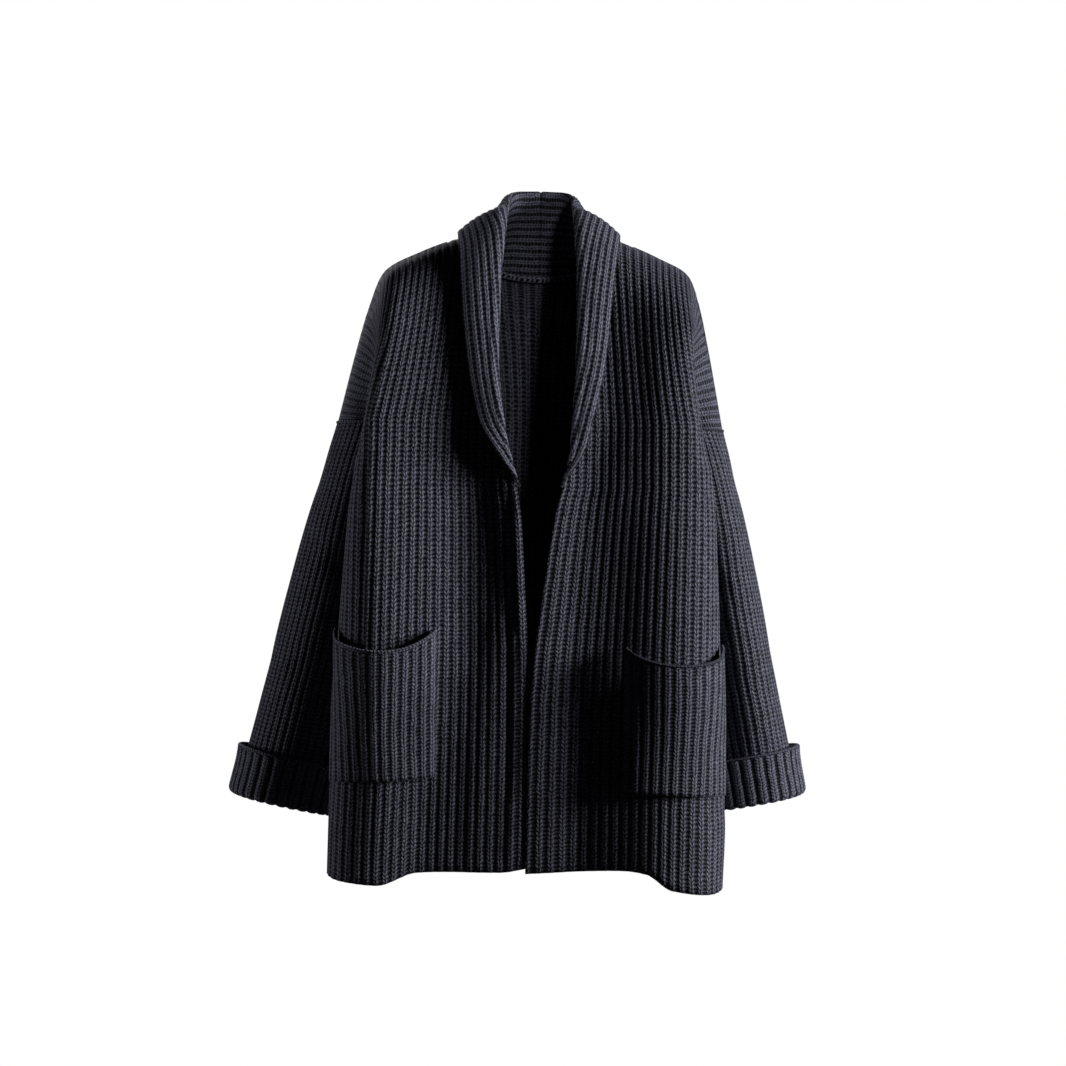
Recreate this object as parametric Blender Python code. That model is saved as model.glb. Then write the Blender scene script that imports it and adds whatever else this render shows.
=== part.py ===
# Open-front shawl-collar cardigan in chunky rib knit, filled out as if worn.
#
# Frame: metres, +Z up, -Y is the wearer's front, +X the wearer's left.
# The origin lies at the neck, midway between the two high shoulder points.
# Each knitted piece is a wall of cloth on its own middle surface. A piece is
# addressed the way its flat pattern is: "across" runs from the centre line to
# the side seam or armhole, "up" runs from the hem (-1) through the armhole
# level (0) to the shoulder seam (+1).
import math

import bmesh
import bpy
import numpy as np

# --- driving dimensions -------------------------------------------------------
WALL = 0.0040             # thickness of the rib knit
SEAM_GAP = 0.0003         # clearance between two pieces at a seam
ARMHOLE_LEVEL = -0.215    # height of the underarm and of the dropped armhole seam
HIGH_SHOULDER = (0.082, 0.000, 0.001)
BACK_NECK_DEPTH = 0.085   # how far behind the shoulder line the back neck lies
BACK_NECK_DROP = 0.037    # how far below the high shoulder points it lies
NECK_ROUNDNESS = 0.75     # under 1 squares the back neck's curve
SIDE_Y = 0.030            # the side seam, the overarm and the sleeves' axes
CUFF_DEPTH = 0.053        # turned-back cuff, fold to free edge
CUFF_STAND_OFF = 0.0078   # between the sleeve's wall and the turned-back leg
CUFF_HEM = 0.016          # part of the cuff inside the fold
POCKET_LIFT = WALL + 0.0008
POCKET_MOUTH = 0.010      # how far the pocket's mouth gapes beyond that
POCKET_TRIM = 0.008       # least height between a pocket's edge and a row of the front
ROLL = 0.0070             # radius at which the collar folds over
ROLL_OF_WIDTH = 0.11      # that radius where the collar is narrow, as a share of its width
FALL_BOW = 0.4            # outward bow of the collar's fall, in roll radii
COLLAR_TIP = 0.0045       # width of the collar's lower end
TIP_LEAN = 0.3            # how far that end leans out of the panel

# Horizontal sections of one front, centre line to side seam, wearer's left first.
SECTION_COLUMNS = ("height", "centre_y", "valley_x", "valley_y", "bulge_x", "bulge_y",
                   "crest_x", "crest_y", "side_x", "seam_x")
FRONT_SECTIONS = {
    "left": (
        (-0.215, -0.096, 0.080, -0.0840, 0.150, -0.0935, 0.1940, -0.067, 0.1285, 0.1345),
        (-0.260, -0.102, 0.068, -0.0895, 0.150, -0.1000, 0.1985, -0.068, 0.1270, 0.1285),
        (-0.330, -0.110, 0.058, -0.1015, 0.151, -0.1120, 0.2035, -0.070, 0.1320, 0.1330),
        (-0.450, -0.119, 0.050, -0.1140, 0.153, -0.1265, 0.2100, -0.074, 0.1475, 0.1485),
        (-0.560, -0.122, 0.050, -0.1205, 0.155, -0.1370, 0.2170, -0.080, 0.1615, 0.1625),
        (-0.650, -0.120, 0.052, -0.1200, 0.155, -0.1385, 0.2185, -0.084, 0.1710, 0.1720),
        (-0.725, -0.118, 0.054, -0.1185, 0.155, -0.1380, 0.2165, -0.086, 0.1790, 0.1800)),
    "right": (
        (-0.215, -0.096, 0.076, -0.0870, 0.176, -0.1010, 0.1950, -0.070, 0.1285, 0.1345),
        (-0.260, -0.101, 0.082, -0.0905, 0.177, -0.1075, 0.1990, -0.072, 0.1285, 0.1300),
        (-0.330, -0.109, 0.076, -0.1010, 0.178, -0.1210, 0.2040, -0.075, 0.1370, 0.1380),
        (-0.450, -0.118, 0.069, -0.1125, 0.174, -0.1325, 0.2105, -0.078, 0.1545, 0.1555),
        (-0.560, -0.120, 0.086, -0.1150, 0.172, -0.1300, 0.2175, -0.082, 0.1695, 0.1705),
        (-0.650, -0.119, 0.110, -0.1120, 0.173, -0.1210, 0.2195, -0.084, 0.1800, 0.1810),
        (-0.725, -0.117, 0.116, -0.1095, 0.174, -0.1170, 0.2200, -0.085, 0.1860, 0.1870)),
}
# How far along from valley to bulge the flank stands at half its height.
FLANK = {"left": 0.46, "right": 0.50}

# Horizontal sections of half the back.
BACK_COLUMNS = ("height", "centre_y", "crest_x", "crest_y")
BACK_SECTIONS = (
    (-0.215, 0.128, 0.168, 0.108),
    (-0.330, 0.131, 0.176, 0.110),
    (-0.450, 0.133, 0.184, 0.111),
    (-0.560, 0.133, 0.192, 0.110),
    (-0.650, 0.132, 0.198, 0.108),
    (-0.725, 0.131, 0.202, 0.106))

# Shoulder seam and its run down the arm, as x, y, z: high shoulder, middle,
# shoulder tip, two points down the arm, armhole seam.
SHOULDER = {
    "left": (HIGH_SHOULDER, (0.135, 0.004, -0.0205), (0.171, 0.010, -0.0400),
             (0.185, 0.016, -0.0750), (0.195, 0.022, -0.1160), (0.2155, 0.030, -0.2150)),
    "right": (HIGH_SHOULDER, (0.135, 0.004, -0.0195), (0.177, 0.010, -0.0430),
              (0.194, 0.016, -0.0840), (0.206, 0.022, -0.1260), (0.2275, 0.030, -0.2150)),
}
SHOULDER_TIP = 2          # row of the shoulder tip in SHOULDER
ARM_RUN = (1.0, 1.24, 1.47, 2.0)   # shares of that row and the ones after it

# Inner edge of each front below the armhole level: height, distance from the
# centre line. Above it the edge runs to the high shoulder point.
NECK_EDGE = {
    "left": ((-0.760, 0.0003), (-0.640, 0.0003), (-0.550, 0.0008), (-0.487, 0.0035), (-0.413, 0.0115),
             (-0.368, 0.0170), (-0.323, 0.0237), (-0.300, 0.0285), (-0.2734, 0.0375),
             (-0.2345, 0.0480), (-0.215, 0.0520)),
    "right": ((-0.760, 0.0003), (-0.640, 0.0003), (-0.550, 0.0006), (-0.487, 0.0020), (-0.404, 0.0073),
              (-0.320, 0.0138), (-0.285, 0.0195), (-0.2734, 0.0240), (-0.2345, 0.0385),
              (-0.215, 0.0435)),
}

# The fold where a panel turns in beside the arm: two points, as x, y, z, and how
# far up they lie between the armhole level and the shoulder tip.
FRONT_CREST = {
    "left": ((0.1750, -0.071, -0.110), (0.1695, -0.036, -0.052)),
    "right": ((0.1750, -0.076, -0.114), (0.1715, -0.038, -0.054)),
}
BACK_CREST = ((0.1690, 0.086, -0.110), (0.1715, 0.048, -0.055))
CREST_LEVELS = (0.0, 0.52, 0.86, 1.0)

# Slope of each panel where it meets the shoulder seam, and above the armhole level.
OVER_SHOULDER = {"front": (0.0, 0.105, 0.022), "back": (0.0, -0.095, 0.022)}
LEVEL_SLOPE = 0.20
SLOPE_STEP = 0.02

# Hem line of one front and of half the back: share across, height.
HEM = {
    "left": ((0.0, -0.7155), (0.15, -0.7115), (0.30, -0.7085), (0.36, -0.7110), (0.44, -0.7285),
             (0.56, -0.7335), (0.70, -0.7280), (1.0, -0.7150)),
    "right": ((0.0, -0.7100), (0.08, -0.7150), (0.24, -0.7160), (0.34, -0.7180), (0.46, -0.7325),
              (0.58, -0.7290), (0.70, -0.7210), (1.0, -0.7120)),
    "back": ((0.0, -0.7080), (0.35, -0.7110), (0.7, -0.7070), (1.0, -0.7110)),
}

# Sections of the sleeve's tube, armhole to fold of the cuff.
SLEEVE_COLUMNS = ("along", "centre_x", "centre_y", "centre_z", "half_width", "half_depth", "tilt")
SLEEVES = {
    "left": ((0.00, 0.1750, 0.030, -0.2150, 0.0405, 0.0580, 0.0),
             (0.10, 0.1860, 0.030, -0.2580, 0.0400, 0.0570, 1.0),
             (0.25, 0.1965, 0.031, -0.3200, 0.0440, 0.0560, 3.0),
             (0.50, 0.2150, 0.032, -0.4290, 0.0505, 0.0530, 6.0),
             (1.00, 0.2547, 0.034, -0.6430, 0.0590, 0.0470, 11.0)),
    "right": ((0.00, 0.1810, 0.030, -0.2150, 0.0465, 0.0580, 0.0),
              (0.10, 0.1930, 0.030, -0.2580, 0.0460, 0.0570, 1.0),
              (0.25, 0.2065, 0.031, -0.3230, 0.0495, 0.0565, 3.0),
              (0.50, 0.2295, 0.032, -0.4350, 0.0535, 0.0535, 6.0),
              (1.00, 0.2780, 0.034, -0.6560, 0.0590, 0.0470, 11.0)),
}

# The collar, matched to the neck seam: seam 0 is the foot of the V, 1 the high
# shoulder point, 2 the centre back. Its free edge lies on the panel below it, at
# this share across and this level up, on the front as far as 1 and then on the
# back, edge_lift from the panel's middle to its own. Where folded is 0 the band
# lies open and only its width counts.
COLLAR_COLUMNS = ("seam", "folded", "roll_x", "roll_y", "roll_z", "edge_across", "edge_up",
                  "edge_lift")
COLLAR = {
    "left": (
        (0.000, 0.0, 0.0300, -0.1050, -0.2840, 0.104, -0.145, 0.0075),
        (0.120, 1.0, 0.0392, -0.1005, -0.2475, 0.150, -0.070, 0.0105),
        (0.235, 1.0, 0.0405, -0.0975, -0.2110, 0.182, 0.010, 0.0145),
        (0.460, 1.0, 0.0430, -0.0840, -0.1380, 0.242, 0.290, 0.0145),
        (0.720, 1.0, 0.0425, -0.0570, -0.0550, 0.294, 0.580, 0.0115),
        (0.900, 1.0, 0.0385, -0.0320, 0.0020, 0.312, 0.810, 0.0090),
        (1.000, 1.0, 0.0370, -0.0120, 0.0230, 0.316, 1.000, 0.0075),
        (1.167, 1.0, 0.0365, 0.0100, 0.0375, 0.338, 0.875, 0.0075),
        (1.333, 1.0, 0.0370, 0.0330, 0.0475, 0.328, 0.760, 0.0075),
        (1.550, 1.0, 0.0335, 0.0510, 0.0550, 0.198, 0.755, 0.0075),
        (1.750, 1.0, 0.0225, 0.0625, 0.0592, 0.118, 0.740, 0.0075),
        (2.000, 1.0, 0.0000, 0.0665, 0.0605, 0.000, 0.730, 0.0075)),
    "right": (
        (0.000, 0.0, 0.0165, -0.1045, -0.2840, 0.062, -0.145, 0.0075),
        (0.120, 1.0, 0.0285, -0.1000, -0.2475, 0.114, -0.070, 0.0085),
        (0.235, 1.0, 0.0352, -0.0980, -0.2110, 0.178, 0.010, 0.0100),
        (0.460, 1.0, 0.0425, -0.0840, -0.1380, 0.246, 0.290, 0.0100),
        (0.720, 1.0, 0.0425, -0.0570, -0.0550, 0.292, 0.580, 0.0090),
        (0.900, 1.0, 0.0385, -0.0320, 0.0020, 0.306, 0.810, 0.0080),
        (1.000, 1.0, 0.0370, -0.0120, 0.0230, 0.311, 1.000, 0.0075),
        (1.167, 1.0, 0.0365, 0.0100, 0.0375, 0.336, 0.875, 0.0075),
        (1.333, 1.0, 0.0370, 0.0330, 0.0475, 0.324, 0.760, 0.0075),
        (1.550, 1.0, 0.0335, 0.0510, 0.0550, 0.194, 0.750, 0.0075),
        (1.750, 1.0, 0.0225, 0.0625, 0.0592, 0.114, 0.740, 0.0075),
        (2.000, 1.0, 0.0000, 0.0665, 0.0605, 0.000, 0.730, 0.0075)),
}

# Patch pockets: heights of the mouth's two ends, its sag between them, and the
# heights of the two lower corners.
POCKET_COLUMNS = ("top_inner", "top_outer", "sag", "bottom_inner", "bottom_outer")
POCKETS = {
    "left": (-0.4640, -0.4600, 0.0215, -0.6215, -0.6250),
    "right": (-0.4480, -0.4500, 0.0235, -0.6095, -0.6190),
}

# Faces in each grid. The pocket lies on the front's columns from the first to
# the last of POCKET_SPAN.
LEVELS_BELOW = (-1.0, -0.90, -0.80, -0.69, -0.58, -0.47, -0.36, -0.25, -0.145, -0.07)
COLLAR_END = 8            # row of LEVELS_BELOW where the collar ends
ROWS_BELOW, ROWS_ABOVE = len(LEVELS_BELOW), 7
COLUMNS_NECK, COLUMNS_BODY, COLUMNS_ARM = 6, 11, 5
STAND_STRIPS, ROLL_STRIPS, FALL_STRIPS = 2, 4, 4
SLEEVE_RINGS = 7
POCKET_SPAN = (5, 11)
CUFF_BEND = (0.25, 0.5, 0.75)      # places round the cuff's fold, in half turns

SIDES = {"left": 1.0, "right": -1.0}
NAVY = (0.027, 0.027, 0.038, 1.0)
SHARP_ANGLE = math.radians(50)


# --- curves -------------------------------------------------------------------
def spline(keys, values, at, rounded=False):
    """Smooth curve through (key, value) rows. Each slope is the harmonic mean of its
    two chords, so that nothing overshoots a row, or their plain mean if rounded."""
    keys = np.asarray(keys, float)
    values = np.asarray(values, float)
    at = np.clip(np.asarray(at, float), keys[0], keys[-1])
    steps = np.diff(keys).reshape((-1,) + (1,) * (values.ndim - 1))
    chords = np.diff(values, axis=0) / steps
    before, after = chords[:-1], chords[1:]
    if rounded:
        inner = (before + after) / 2
    else:
        same_way = before * after > 0
        inner = np.where(same_way, 2 * before * after / np.where(same_way, before + after, 1), 0)
    slopes = np.concatenate([chords[:1], inner, chords[-1:]])
    i = np.clip(np.searchsorted(keys, at, side="right") - 1, 0, len(keys) - 2)
    span = keys[i + 1] - keys[i]
    f = (at - keys[i]) / span
    shape = f.shape + (1,) * (values.ndim - 1)
    f, span = f.reshape(shape), span.reshape(shape)
    return (values[i] * (1 + 2 * f) * (1 - f) ** 2 + values[i + 1] * f * f * (3 - 2 * f)
            + slopes[i] * span * f * (1 - f) ** 2 + slopes[i + 1] * span * f * f * (f - 1))


def column(table, names, name):
    return np.array([row[names.index(name)] for row in table], float)


def run_of(points):
    """Length along a polyline up to each of its points."""
    steps = np.linalg.norm(np.diff(points, axis=0), axis=1)
    return np.concatenate([[0.0], np.cumsum(steps)])


def along_polyline(points, share):
    """Points at given shares of the length of one dense polyline."""
    run = run_of(points)
    where = np.asarray(share) * run[-1]
    return np.stack([np.interp(where, run, points[:, k]) for k in range(3)], axis=-1)


def dense(controls, count=160):
    """Smooth curve through control points, spaced by the chords between them."""
    controls = np.asarray(controls, float)
    gaps = np.linalg.norm(np.diff(controls, axis=0), axis=1)
    keys = np.concatenate([[0.0], np.cumsum(np.maximum(gaps, 1e-6) ** 0.5)])
    return spline(keys, controls, np.linspace(0, keys[-1], count), rounded=True)


def smooth_step(low, high, value):
    f = np.clip((value - low) / (high - low), 0, 1)
    return f * f * (3 - 2 * f)


# --- fronts -------------------------------------------------------------------
def front_loop(side, height):
    """Section of one front at a height: centre line, valley, pocket bulge, the
    fold beside the arm, then the side wall back to the side seam."""
    table = FRONT_SECTIONS[side]
    heights = -column(table, SECTION_COLUMNS, "height")
    got = {name: float(spline(heights, column(table, SECTION_COLUMNS, name), -height))
           for name in SECTION_COLUMNS[1:]}
    valley = np.array([got["valley_x"], got["valley_y"]])
    bulge = np.array([got["bulge_x"], got["bulge_y"]])
    crest = np.array([got["crest_x"], got["crest_y"]])
    wall = np.array([got["side_x"], SIDE_Y])
    beside = np.array([got["side_x"], SIDE_Y * 0.1])
    seam = np.array([got["seam_x"], SIDE_Y])
    flank = valley + (bulge - valley) * np.array([FLANK[side], 0.5])
    shoulder_of_bulge = bulge + (crest - bulge) * np.array([0.68, 0.24])
    behind = crest + (wall - crest) * np.array([0.34, 0.20])
    inner = crest + (wall - crest) * np.array([0.82, 0.43])
    centre = np.array([0.0, got["centre_y"]])
    middle = (centre + valley) / 2 + np.array([0.0, -0.0015])
    return dense(at_height([centre, middle, valley, flank, bulge, shoulder_of_bulge, crest,
                            behind, inner, beside, seam], height))


def at_height(points, height):
    return [(p[0], p[1], height) for p in points]


def crest_share(loop):
    """Where the fold beside the arm lies along a section, as a share."""
    run = run_of(loop)
    return float(run[np.argmax(loop[:, 0])] / run[-1])


def hermite(start, end, start_slope, end_slope, f):
    return (start * (1 + 2 * f) * (1 - f) ** 2 + end * f * f * (3 - 2 * f)
            + start_slope * f * (1 - f) ** 2 + end_slope * f * f * (f - 1))


def shoulder_line(side, share):
    """Shoulder seam by share: 0 the centre line, 1 the shoulder tip, 2 the armhole."""
    rows = np.array(SHOULDER[side])
    neck = HIGH_SHOULDER[0] / rows[SHOULDER_TIP][0]
    keys = np.array((neck, (neck + 1) / 2) + ARM_RUN)
    inside = share < neck
    line = spline(keys, rows, share)
    level = np.array(HIGH_SHOULDER)[None, :] * np.stack(
        [share / neck, np.ones_like(share), np.ones_like(share)], axis=-1)
    return np.where(inside[:, None], level, line)


def armhole(side, share, panel):
    """Half of the armhole ring: 0 the underarm, 1 the overarm."""
    return sleeve_section(side, 0.0, share / 2 if panel == "front" else -share / 2)


def lower_rows(loop_of, side, hem, across, up):
    """Panel at and below the armhole level: on each section, its share of the length."""
    heights = ARMHOLE_LEVEL + (spline(*zip(*hem), across) - ARMHOLE_LEVEL) * -up
    low = along_polyline(loop_of(side, heights.min() - 1e-4), across)
    high = along_polyline(loop_of(side, heights.max() + 1e-4), across)
    mix = (heights - low[:, 2]) / (high[:, 2] - low[:, 2])
    return low + (high - low) * mix[:, None]


def upper_rows(loop_of, side, across, up, crest, panel, top):
    """Panel above the armhole level. Up to the fold beside the arm each column is
    one cubic from the armhole level to the shoulder seam; beyond it the cloth
    fills the space between the fold, the armhole and the line over the arm."""
    level = loop_of(side, ARMHOLE_LEVEL)
    share = crest_share(level)
    foot = along_polyline(level, across)
    below = along_polyline(loop_of(side, ARMHOLE_LEVEL - SLOPE_STEP), across)
    slope = (foot - below) / SLOPE_STEP * LEVEL_SLOPE
    over = np.array(OVER_SHOULDER[panel])
    column_top = top(np.where(across <= share, across / share,
                              1 + (across - share) / (1 - share)))
    body = hermite(foot, column_top, slope, over, up)
    ridge_foot = along_polyline(level, share)
    ridge_top = np.array(SHOULDER[side][SHOULDER_TIP])
    ridge = spline(CREST_LEVELS, (ridge_foot,) + crest + (ridge_top,), up)
    at_ridge = hermite(ridge_foot, ridge_top, slope[np.argmin(abs(across - share))], over, up)
    body = body + np.clip(across / share, 0, 1)[:, None] ** 2 * (ridge - at_ridge)
    beyond = np.clip((across - share) / (1 - share), 0, 1)[:, None]
    ring, under_arm, over_arm = armhole(side, np.array([up, 0.0, 1.0]), panel)
    patch = ((1 - up) * foot + up * column_top + (1 - beyond) * ridge + beyond * ring
             - (1 - beyond) * ((1 - up) * ridge_foot + up * ridge_top)
             - beyond * ((1 - up) * under_arm + up * over_arm))
    return np.where(across[:, None] <= share, body, patch)


def front_points(side, across, up):
    """Middle surface of one front: one row of points, for shares across it."""
    if up <= 0:
        return lower_rows(front_loop, side, HEM[side], across, up)
    return upper_rows(front_loop, side, across, up, FRONT_CREST[side], "front",
                      lambda share: shoulder_line(side, share))


def neck_share(side, up):
    """Where the neck edge crosses a front, as a share across it."""
    height = ARMHOLE_LEVEL + (HEM[side][0][1] - ARMHOLE_LEVEL) * max(-up, 0)
    loop = front_loop(side, height)
    start = spline(*zip(*NECK_EDGE[side]), height) / run_of(loop)[-1]
    if up <= 0:
        return start
    at_shoulder = crest_share(loop) * HIGH_SHOULDER[0] / SHOULDER[side][SHOULDER_TIP][0]
    return start + (at_shoulder - start) * up


# --- back ---------------------------------------------------------------------
def back_loop(side, height):
    heights = -column(BACK_SECTIONS, BACK_COLUMNS, "height")
    got = {name: float(spline(heights, column(BACK_SECTIONS, BACK_COLUMNS, name), -height))
           for name in BACK_COLUMNS[1:]}
    table = FRONT_SECTIONS[side]
    side_x, seam_x = (float(spline(-column(table, SECTION_COLUMNS, "height"),
                                   column(table, SECTION_COLUMNS, name), -height))
                      for name in ("side_x", "seam_x"))
    crest = np.array([got["crest_x"], got["crest_y"]])
    wall = np.array([side_x, SIDE_Y])
    beside = np.array([side_x, SIDE_Y * 1.9])
    seam = np.array([seam_x, SIDE_Y])
    middle = np.array([crest[0] * 0.60, got["centre_y"] - 0.003])
    behind = crest + (wall - crest) * np.array([0.38, 0.16])
    inner = crest + (wall - crest) * np.array([0.84, 0.44])
    centre = np.array([0.0, got["centre_y"]])
    half = np.array([crest[0] * 0.3, got["centre_y"] - 0.0005])
    return dense(at_height([centre, half, middle, crest, behind, inner, beside, seam],
                           height))


def back_top(side, share):
    """Back neck from the centre back to the high shoulder point, then the seam."""
    neck = HIGH_SHOULDER[0] / SHOULDER[side][SHOULDER_TIP][0]
    turn = np.clip(share / neck, 0, 1) * math.pi / 2
    reach = np.cos(turn) ** NECK_ROUNDNESS
    curve = np.stack([HIGH_SHOULDER[0] * np.sin(turn), HIGH_SHOULDER[1] + BACK_NECK_DEPTH * reach,
                      HIGH_SHOULDER[2] - BACK_NECK_DROP * reach], axis=-1)
    return np.where((share < neck)[:, None], curve, shoulder_line(side, share))


def back_points(side, across, up):
    """Middle surface of half the back: one row of points, for shares across it."""
    if up <= 0:
        return lower_rows(back_loop, side, HEM["back"], across, up)
    return upper_rows(back_loop, side, across, up, BACK_CREST, "back",
                      lambda share: back_top(side, share))


# --- walls on grids -----------------------------------------------------------
def grid_normals(grid):
    """Unit normals of a grid of points, from its central differences."""
    normal = np.cross(np.gradient(grid, axis=1), np.gradient(grid, axis=0))
    return normal / np.linalg.norm(normal, axis=-1, keepdims=True)


def pull_back(grid, edge):
    """Move one edge of a grid inwards by half the gap that a seam keeps."""
    inner = {"first_row": (0, 1), "last_row": (-1, -2)}.get(edge)
    if inner:
        line, behind = grid[inner[0]], grid[inner[1]]
    else:
        inner = {"first_column": (0, 1), "last_column": (-1, -2)}[edge]
        line, behind = grid[:, inner[0]], grid[:, inner[1]]
    way = behind - line
    line += way / np.linalg.norm(way, axis=-1, keepdims=True) * SEAM_GAP / 2


def wall(name, grid, normals, closed=False):
    """Closed wall of cloth: the grid moved out and in by half the thickness, with
    a rim on each open edge. A closed grid joins its last column to its first."""
    rows, columns = grid.shape[:2]
    outer = grid + normals * WALL / 2
    inner = grid - normals * WALL / 2
    points = np.concatenate([outer.reshape(-1, 3), inner.reshape(-1, 3)])
    count = rows * columns
    turn = columns if closed else columns - 1
    faces = []
    for r in range(rows - 1):
        for c in range(turn):
            d = (c + 1) % columns
            a = (r * columns + c, r * columns + d, (r + 1) * columns + d, (r + 1) * columns + c)
            faces.append(a)
            faces.append(tuple(i + count for i in reversed(a)))
    for c in range(turn):
        d = (c + 1) % columns
        low = (rows - 1) * columns
        faces.append((d, c, c + count, d + count))
        faces.append((low + c, low + d, low + d + count, low + c + count))
    if not closed:
        for r in range(rows - 1):
            a, b = r * columns, (r + 1) * columns
            faces.append((a, b, b + count, a + count))
            a, b = a + columns - 1, b + columns - 1
            faces.append((b, a, a + count, b + count))
    add_object(name, points, faces)


def add_object(name, points, faces):
    mesh = bpy.data.meshes.new(name)
    mesh.from_pydata([tuple(p) for p in points], [], faces)
    work = bmesh.new()
    work.from_mesh(mesh)
    bmesh.ops.triangulate(work, faces=work.faces)
    bmesh.ops.recalc_face_normals(work, faces=work.faces)
    if work.calc_volume(signed=True) < 0:
        bmesh.ops.reverse_faces(work, faces=work.faces)
    work.to_mesh(mesh)
    work.free()
    mesh.shade_smooth()
    mesh.set_sharp_from_angle(angle=SHARP_ANGLE)
    item = bpy.data.objects.new(name, mesh)
    bpy.context.scene.collection.objects.link(item)
    item.data.materials.append(knit_material(name + "_knit"))


def knit_material(name):
    material = bpy.data.materials.new(name)
    material.use_nodes = True
    shader = material.node_tree.nodes["Principled BSDF"]
    shader.inputs["Base Color"].default_value = NAVY
    shader.inputs["Roughness"].default_value = 0.92
    shader.inputs["Metallic"].default_value = 0.0
    return material


# --- pieces -------------------------------------------------------------------
def levels():
    """Rows of a panel, hem to shoulder."""
    return np.concatenate([LEVELS_BELOW, np.linspace(0, 1, ROWS_ABOVE + 1)])


def front_grid(side):
    """Rows from the hem up, columns from the neck edge to the side seam."""
    share = crest_share(front_loop(side, ARMHOLE_LEVEL))
    rows = []
    for up in levels():
        start = neck_share(side, up)
        across = np.concatenate([np.linspace(start, share, COLUMNS_BODY, endpoint=False),
                                 np.linspace(share, 1, COLUMNS_ARM + 1)])
        rows.append(mirrored(front_points(side, across, up), side))
    return np.array(rows)


def back_grid(side):
    """Rows from the hem up, columns from the centre back to the side seam."""
    share = crest_share(back_loop(side, ARMHOLE_LEVEL))
    neck = share * HIGH_SHOULDER[0] / SHOULDER[side][SHOULDER_TIP][0]
    across = np.concatenate([np.linspace(0, neck, COLUMNS_NECK, endpoint=False),
                             np.linspace(neck, share, COLUMNS_BODY, endpoint=False),
                             np.linspace(share, 1, COLUMNS_ARM + 1)])
    return np.array([mirrored(back_points(side, across, up), side) for up in levels()])


def mirrored(points, side):
    return points * np.array([SIDES[side], 1.0, 1.0])


def outward(normals, points, centre):
    """Turn a grid's normals so that they point away from a centre line."""
    sign = np.sign(np.einsum("...k,...k->...", normals, points - centre).sum())
    return normals * (sign if sign else 1.0)


def join_normals(first, second):
    """Give two pieces one normal along the seam they share, so their rims mate."""
    both = first + second
    both /= np.linalg.norm(both, axis=-1, keepdims=True)
    first[:] = both
    second[:] = both


def tilted(points, centre, degrees_down):
    """Lower a ring's outer side about its centre."""
    angle = math.radians(degrees_down)
    x = points[:, 0] - centre[0]
    z = points[:, 2] - centre[2]
    return np.stack([centre[0] + x * math.cos(angle) - z * math.sin(angle), points[:, 1],
                     centre[2] + x * math.sin(angle) + z * math.cos(angle)], axis=-1)


def sleeve_section(side, along, turns, grow=0.0):
    """Oval ring of the sleeve: 0 turns is the underarm, 0.25 the front."""
    keys = column(SLEEVES[side], SLEEVE_COLUMNS, "along")
    row = spline(keys, np.array(SLEEVES[side])[:, 1:], along)
    centre, half_width, half_depth, tilt = row[:3], row[3] + grow, row[4] + grow, row[5]
    angle = 2 * math.pi * turns
    ring = np.stack([centre[0] - half_width * np.cos(angle),
                     centre[1] - half_depth * np.sin(angle),
                     np.full_like(angle, centre[2])], axis=-1)
    return tilted(ring, centre, tilt)


def ring_turns():
    """Places round the armhole where the panels' rows end, as turns."""
    half = np.linspace(0, 0.5, ROWS_ABOVE + 1)
    return np.concatenate([half[:-1], 0.5 + half[:-1]])


def sleeve_grid(side):
    turns = ring_turns()
    return np.array([mirrored(sleeve_section(side, along, turns), side)
                     for along in np.linspace(0, 1, SLEEVE_RINGS + 1)])


def cuff_grid(side, sleeve_end, sleeve_axis):
    """Band linked to the sleeve's end, folded once at the bottom and turned up."""
    turns = ring_turns()
    centre = sleeve_end.mean(axis=0)
    spokes = sleeve_end - centre
    spokes -= (spokes @ sleeve_axis)[:, None] * sleeve_axis
    spokes /= np.linalg.norm(spokes, axis=-1, keepdims=True)
    half = CUFF_STAND_OFF / 2
    profile = [(0.0, 0.0), (0.0, CUFF_HEM - half)]
    profile += [(half - half * math.cos(a), CUFF_HEM - half + half * math.sin(a))
                for a in np.pi * np.array(CUFF_BEND)]
    profile += [(CUFF_STAND_OFF, CUFF_HEM - half - (CUFF_DEPTH - half) * f)
                for f in (0.0, 0.5, 1.0)]
    return np.array([sleeve_end + spokes * out + sleeve_axis * down for out, down in profile])


def lifted(side, points_of, across, up, lift):
    """A point of a panel moved out from it, away from the body."""
    step = 0.01 if up < 0.5 else -0.01
    here, beside = points_of(side, np.array([across, across + 0.01]), up)
    above = points_of(side, np.array([across]), up + step)[0]
    normal = np.cross(beside - here, (above - here) / np.sign(step))
    normal /= np.linalg.norm(normal)
    if normal[1] * (1 if points_of is back_points else -1) < 0:
        normal = -normal
    return here + normal * lift


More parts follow.
